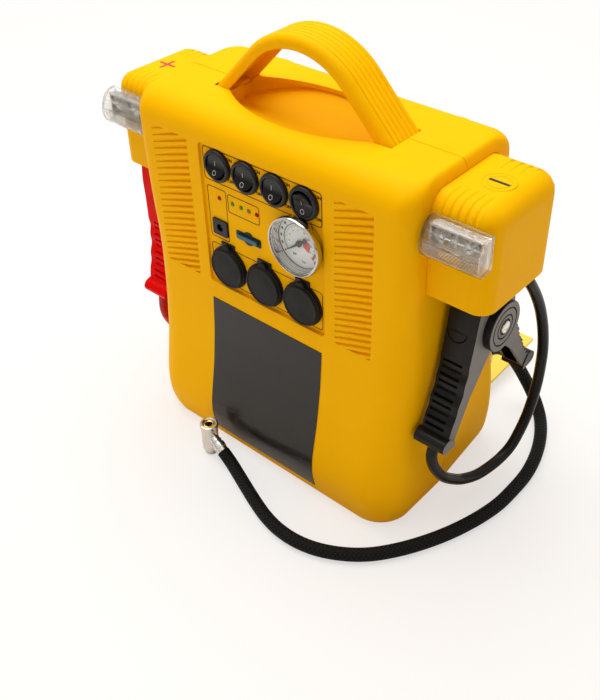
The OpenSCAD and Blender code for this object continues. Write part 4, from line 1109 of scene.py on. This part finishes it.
LIGHT = [
    (-47, 1.9), (-50.8, 1.9), (-50.8, 1.5), (-54.1, 1.5), (-54.1, 1.2), (-54.6, 1.15), (-55.0, 0.9),
    (-55.3, 0.5), (-55.4, 0.2),
]


def lights(name, places):
    return join(name, [rod("light", "y", (x, LIGHTS_Z), LIGHT, 24) for x in places])


show(lights("green_lights", GREEN_LIGHTS), LED_GREEN, "lights_green", angle=50)
show(lights("red_lights", RED_LIGHTS), LED_RED, "lights_red", angle=50)
show(lights("amber_light", [AMBER_LIGHT]), LED_AMBER, "light_amber", angle=50)

LID_Y = PANEL_Y - 1.9
LID = [
    (2.6, 8.2), (2.2, 8.6), (0, 8.6), (0, 15.6), (-0.3, 15.8), (-0.9, 15.8), (-1.2, 15.5), (-1.3, 14.9),
    (-2.6, 14.7), (-3.0, 14.4), (-3.15, 13.9), (-3.05, 13.3), (-2.7, 12.9), (-2.75, 6), (-2.8, 1),
]
for k, (x, z) in enumerate(SOCKETS, 1):
    cap = rod("cap", "y", (x, z), [(LID_Y + y, r) for y, r in LID], 96)
    tab = prism("tab", "y", rounded(x - 3.9, x + 3.9, z + 10, z + 18, 3.6, 8), LID_Y - 1.9, LID_Y - 0.3)
    edge = [(x - 2.6, 0.6), (x - 2.2, 0.9), (x + 2.2, 0.9), (x + 2.6, 0.6)]
    carve(cap, [tab, rod("edge", "x", (LID_Y - 1.1, z + 17.6), edge, 24)], "UNION")
    show(cap, RUBBER, f"socket_cap_{k}", f"cap_{k}_body", angle=24, name=f"socket_lid_{k}")

run = [9 + 121 * k / 60 for k in range(61)]
film = [(-front_at(z) - 0.5, z) for z in run] + [(-front_at(z) + 0.3, z) for z in reversed(run)]
show(prism("label", "x", film, -51.5, 51.5), LABEL, "front_label")

# ---- battery clamps

ARM_OUT = [(-6, 74), (-11, 62), (-16, 42), (-20.5, 25), (-23.5, 14), (-25.5, 2)]
GRIP_OUT = [(-28, -11), (-32.5, -31), (-35.5, -41), (-40, -52), (-44.5, -64), (-47, -71)]
GRIP_IN = [(-40, -77), (-34, -64.5), (-25, -47), (-15, -33.5), (-5.5, -20)]
ARM_IN = [(4, -15), (13, -8), (13, 8), (4, 14), (-2, 26), (-2, 74)]
LEVER_W, BOSS_OUT, BOSS_IN = 22, 16.5, 14.6
back_of_grip = table([(h, y) for y, h in reversed(ARM_OUT + GRIP_OUT)])


def grip_line():
    """The outer side of a lever with the hollows for the fingers."""
    found = [(back_of_grip(h), h) for h in (74, 68, 62, 52, 42, 33, 25, 19, 14, 8, 2, -5, -11, -16)]
    for step in range(26):
        h = -18 - 2 * step
        hollow = 0.55 * (1 - cos(2 * pi * (h + 18) / 14.5)) if h > -62 else 0.0
        found.append((back_of_grip(h) + hollow, h))
    return found + [(-47, -71)]


def spread(points, degrees):
    """Side points turned about the clamp's pivot."""
    c, s = cos(radians(degrees)), sin(radians(degrees))
    return [(y * c + z * s, z * c - y * s) for y, z in points]


# Side outlines of a lever: the skin of its grip, the flange at its end, its hollow above and below the pivot
GRIP_SKIN = [(-41, -76), (-36, -64), (-30.5, -50), (-25, -36), (-21.5, -24), (-19.5, -14)]
FLANGE = [(-46, -69), (-50.5, -69.6), (-53.4, -72), (-54, -74.8), (-52.8, -78), (-49.5, -79.5), (-39.5, -79.5)]
HOLLOW_TOP = [(-7, 52), (-12.5, 40), (-17, 24.5), (-20, 13.5), (-22, 2)]
HOLLOW_GRIP = [
    (-24.5, -11.5), (-29, -31), (-32, -40), (-36.5, -51), (-41, -63), (-43.5, -71), (-38, -73.5), (-20, -80),
]
BOSS = [
    (-BOSS_IN, 13.5), (-BOSS_IN + 0.8, 15.1), (-BOSS_IN + 1.6, 15.5), (5, 15.5), (5, 17.9),
    (BOSS_OUT - 0.5, 17.9), (BOSS_OUT, 17.4),
]
RIVET = [
    (-BOSS_IN, 3.05), (BOSS_OUT + 0.1, 3.05), (BOSS_OUT + 0.1, 4.4), (BOSS_OUT + 0.8, 4.2),
    (BOSS_OUT + 1.15, 3.4), (BOSS_OUT + 1.3, 2.4), (BOSS_OUT + 0.9, 1.9), (BOSS_OUT + 0.75, 1),
]


def grip_slots(x0, x1):
    """Ten slots across the back of a grip."""
    for k in range(10):
        h = -20.5 - 5 * k
        y0, y1 = back_of_grip(h) - 3, back_of_grip(h) + 1.9
        yield prism("slot", "x", [(y0, h - 1.5), (y1, h - 1.0), (y1, h + 0.9), (y0, h + 1.4)], x0, x1)


def lever(outer, angle):
    """One lever of a clamp, its grip spread by an angle; the outer one carries the boss."""
    w = LEVER_W if outer else 16
    inner = w - 5.2
    outline = grip_line()
    split = next(k for k, p in enumerate(outline) if p[1] < -8)
    grip = outline[split:]
    body = prism("lever", "x", outline[:split] + spread(grip + GRIP_IN, angle) + ARM_IN, -w / 2, w / 2)
    swing = turned("X", -angle)
    shell = prism("grip", "x", grip + GRIP_SKIN, -w / 2, w / 2)
    flange = prism("flange", "x", flow(FLANGE) + [(-40, -75)], -w / 2 - 1, w / 2 + 1)
    carve(body, [move(shell, swing), move(flange, swing)], "UNION")
    boss = rod("boss", "x", (0, 0), BOSS, 96) if outer else bar("x", (0, 0), 8, -w / 2, w / 2)
    carve(body, [boss], "UNION")
    hollow = HOLLOW_TOP + spread(HOLLOW_GRIP, angle) + [(30, -60), (30, 20), (2, 52)]
    cuts = [prism("hollow", "x", hollow, -inner / 2, inner / 2)]
    cuts += [bar("x", (0, 0), 17 if outer else 9, -inner / 2, inner / 2), bar("x", (0, 0), 3.1, -40, 40, 32)]
    if not outer:
        return carve_each(body, cuts + [move(slot, swing) for slot in grip_slots(-8, 8)])
    cuts += [hoop("x", (0, 0), r - 0.5, r + 0.5, BOSS_OUT - 1.6, BOSS_OUT + 1) for r in (5.3, 8.5, 13.4)]
    cuts += grip_slots(-9.2, 5.6)
    stroke = prism("stroke", "y", rounded(-8.7, 2.7, 0.15, 1.45, 0.5, 4), -4, 0.42)
    sign = [hoop("y", (-3.0, 0.7), 7.1, 7.8, -4, 0.42), stroke]
    seat = shifted(0, back_of_grip(1.5), 1.5) @ turned("X", 9.5)
    return carve_each(body, cuts + [move(tool, seat) for tool in sign])


def clamp_seat(side):
    if side > 0:
        return shifted(133.5, 8.5, 161.5)
    return MIRROR @ shifted(133.5, -8.8, 174) @ turned("X", 11)


for (side, word), look in zip(SIDES, (CLAMP_BLACK, CLAMP_RED)):
    front = move(lever(True, 0), clamp_seat(side))
    show(front, look, "clamp_front_" + word, angle=28, name="front_lever_" + word)
    rear = move(move(lever(False, 8), Matrix.Scale(-1, 4, (0, 1, 0))), clamp_seat(side))
    show(rear, look, "clamp_rear_" + word, f"clamp_{word}_lever", angle=28, name="rear_lever_" + word)
    if side > 0:
        # The outward faces of the black clamp are paler: a painted sheen, the reflection of the white surroundings on
        # that side only
        for piece in (front, rear):
            piece.data.materials.append(CLAMP_PAINTED_SHEEN)
            for polygon in piece.data.polygons:
                polygon.material_index = int(polygon.normal.x > 0.97 and polygon.center.x > 0.14)
    pin = move(rod("rivet", "x", (0, 0), RIVET, 48), clamp_seat(side))
    show(pin, NICKEL, "clamp_pivot_" + word, angle=35, name="rivet_" + word)

# ---- air hose, battery cables, air chuck

CABLE_ROUTE = [
    (133.5, -40, 72), (133.9, -38, 62.5), (134.7, -33, 52.3), (136.2, -25.6, 41.5), (138.3, -16.5, 33.3),
    (140.4, -7.4, 27.2), (143, 7.3, 21), (145.3, 21.9, 19.5), (147, 35.5, 20.5), (148.3, 46.5, 25),
    (149, 55, 34), (149.2, 62.5, 44.5), (149, 68.2, 56.5), (148.3, 73.2, 69.5), (147.4, 76.1, 83.5),
    (146.6, 77, 97.5), (145.6, 75.6, 112), (144.6, 72.2, 126.5), (143.2, 67, 142), (141.6, 59.6, 157),
    (140.2, 51.8, 169.2), (138.1, 48.6, 174.3), (134.1, 46.2, 178.4), (128.7, 44.6, 181.1), (122.8, 44, 182),
    (121.5, 44, 182),
]
HOSE_ROUTE = [
    (101, 77, 70), (101, 83.5, 70), (101.8, 92, 66.5), (103.6, 100, 61), (106.5, 107, 52.5),
    (111, 112.5, 41.5), (117, 116, 29.5), (124.5, 117, 18), (133, 113.5, 9.5), (142, 104.5, 5.5),
    (150, 91.5, 5), (156.5, 77, 5), (161.5, 61, 5), (164.5, 44, 5), (165.1, 26, 5), (164.5, 8, 5),
    (161.5, -9, 5), (157, -25, 5), (151.5, -40, 5), (144, -56, 5), (134, -73, 5), (122, -88.5, 5),
    (108.5, -100, 5), (92, -109, 5), (75, -113.6, 5), (58, -114, 5), (42, -111, 5), (26, -105.5, 5),
    (10, -99, 5), (-4.5, -93, 5.2), (-15.8, -89, 6.8), (-24.5, -87.6, 11),
]


def run_length(route):
    return sum((Vector(b) - Vector(a)).length for a, b in zip(route, route[1:])) * MM


def cable_route(side):
    """The route from the end of the front lever's grip down and back up to the gland."""
    seat = clamp_seat(side)
    ends = [(seat @ Vector((0, -47 * MM, z * MM))) * 1000 for z in (-79.5, -82.5)]
    rest = [Vector((side * x, y, z)) for x, y, z in CABLE_ROUTE]
    return [tuple(round(v, 3) for v in p) for p in ends + rest]


for (side, word), look in zip(SIDES, (CABLE_BLACK, CABLE_RED)):
    route = flow(cable_route(side), 5)[::-1]
    cable = tube("cable_" + word, route, 4)
    show(cable, look, "battery_cable_" + word, angle=60)
    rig.cord(cable, exit=tuple(v * MM for v in route[0]), length=run_length(route), diameter=0.008,
            far_end="object", stiffness="limp", lay="hanging", path=[tuple(v * MM for v in p) for p in route])

hose_route = flow(HOSE_ROUTE, 6)
hose = tube("braided_hose", hose_route, 4.95, 40, mapped=True)
show(hose, HOSE, "air_hose", angle=60)

CHUCK = (-41, -85)
BARREL = [
    (0, 4.6), (0.5, 5), (4, 5), (4.4, 6.2), (5, 6.6), (12, 6.6), (12.3, 6.3), (12.9, 6.3), (13.2, 6.6),
    (25.6, 6.6), (26.1, 7.0), (26.8, 7.2), (28.8, 7.2), (29.6, 6.9), (30, 6.2),
]
body = rod("chuck_body", "z", CHUCK, BARREL)
end, start = Vector(HOSE_ROUTE[-1]), Vector((*CHUCK, 19))
axis = (end - start).to_track_quat("Z", "Y").to_matrix().to_4x4()
reach = (end - start).length - 0.2
NECK = [
    (0, 4.1), (8, 4.1), (8.2, 4.7), (9.2, 4.7), (9.4, 4.2), (11, 4.2), (11.2, 5.0), (reach - 3, 5.0),
    (reach - 2.6, 4.6), (reach, 4.6),
]
carve(body, [move(rod("neck", "z", (0, 0), NECK, 48), shifted(*start) @ axis)], "UNION")
carve(body, [rod("bore", "z", CHUCK, [(16, 4.6), (29.2, 4.6), (30.2, 5.4), (31, 5.4)], 48)])
show(body, NICKEL, "air_chuck", angle=35)
SEAL = [(2.6, 24), (4.55, 24), (4.55, 28.2), (4.2, 28.7), (3.4, 28.9), (2.8, 28.6), (2.6, 28.2)]
seal = ring("chuck_seal", "z", CHUCK, SEAL, 48)
show(seal, BRASS, slot="brass")
throat = rod("chuck_throat", "z", CHUCK, [(16.5, 4.5), (23.8, 4.5)], 32)
show(throat, RUBBER, slot="black_rubber")
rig.cord(hose, exit=tuple(v * MM for v in hose_route[0]), length=run_length(hose_route), diameter=0.01,
        far_end="fitting", stiffness="medium", lay="loose", path=[tuple(v * MM for v in p) for p in hose_route],
        with_pieces=[body, seal, throat])

# ---- floor, world and lamp

softbox = linked("softbox above", bpy.data.lights.new("softbox above", "AREA"))
softbox.data.shape, softbox.data.size, softbox.data.size_y = "RECTANGLE", 1.5, 1.4
softbox.data.energy, softbox.data.color = 24, (0.9, 0.97, 1.0)
softbox.location = (-0.35, 0.15, 1.5)
softbox.rotation_euler = (Vector((0, 0, 0.1)) - softbox.location).to_track_quat("-Z", "Y").to_euler()

studio = Look("studio", bpy.data.worlds)
scene.world = studio.owner
paths = studio.add("LightPath").outputs


def sky(colour, strength):
    return studio.add("Background", Color=colour, Strength=strength).outputs[0]


# The walls of the studio are darker than its ceiling where metal mirrors them
split = studio.add("SeparateXYZ", Vector=studio.add("TexCoord").outputs["Generated"])
height = studio.ramp(split.outputs["Z"], 0.02, 0.45, 0, 1)
room = studio.blend(height, sky((0.9, 0.8, 0.7), 0.3), sky((1, 0.98, 0.95), 0.85))
light = studio.blend(paths["Is Glossy Ray"], sky((1, 0.8, 0.62), 0.56), room)
light = studio.blend(paths["Is Transmission Ray"], light, sky((1, 1, 1), 0.95))
studio.surface(studio.blend(paths["Is Camera Ray"], light, sky((1, 1, 1), 1.0)))

# The floor glows a little where the camera sees it, and more further away
FAR = 9000
floor = solid("floor", [(-FAR, -FAR, 0), (FAR, -FAR, 0), (FAR, FAR, 0), (-FAR, FAR, 0)], [(0, 1, 2, 3)])
paper = Look("white paper")
paper.set(Base_Color=grey(0.94), Roughness=0.9, Specular_IOR_Level=0.1)
matt = paper.shader.outputs[0]
glow = paper.add("Emission", Color=(1, 0.995, 0.985)).outputs[0]
away = paper.add("VectorMath", operation="LENGTH", Vector=paper.where).outputs["Value"]
half = paper.blend(paper.ramp(away, 0.3, 1.5, 0.6, 1.0), matt, glow)
seen = paper.add("LightPath").outputs["Is Camera Ray"]
floor.data.materials.append(paper.surface(paper.blend(seen, matt, half)))
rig.stage(floor)

# ---- sizes, then the end

size_at_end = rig.bounds()
with open("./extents.json", "w") as out:
    for label, (low, high) in (("load", size_at_load), ("end", size_at_end)):
        print(label, [round(v, 5) for v in low], [round(v, 5) for v in high], file=out)
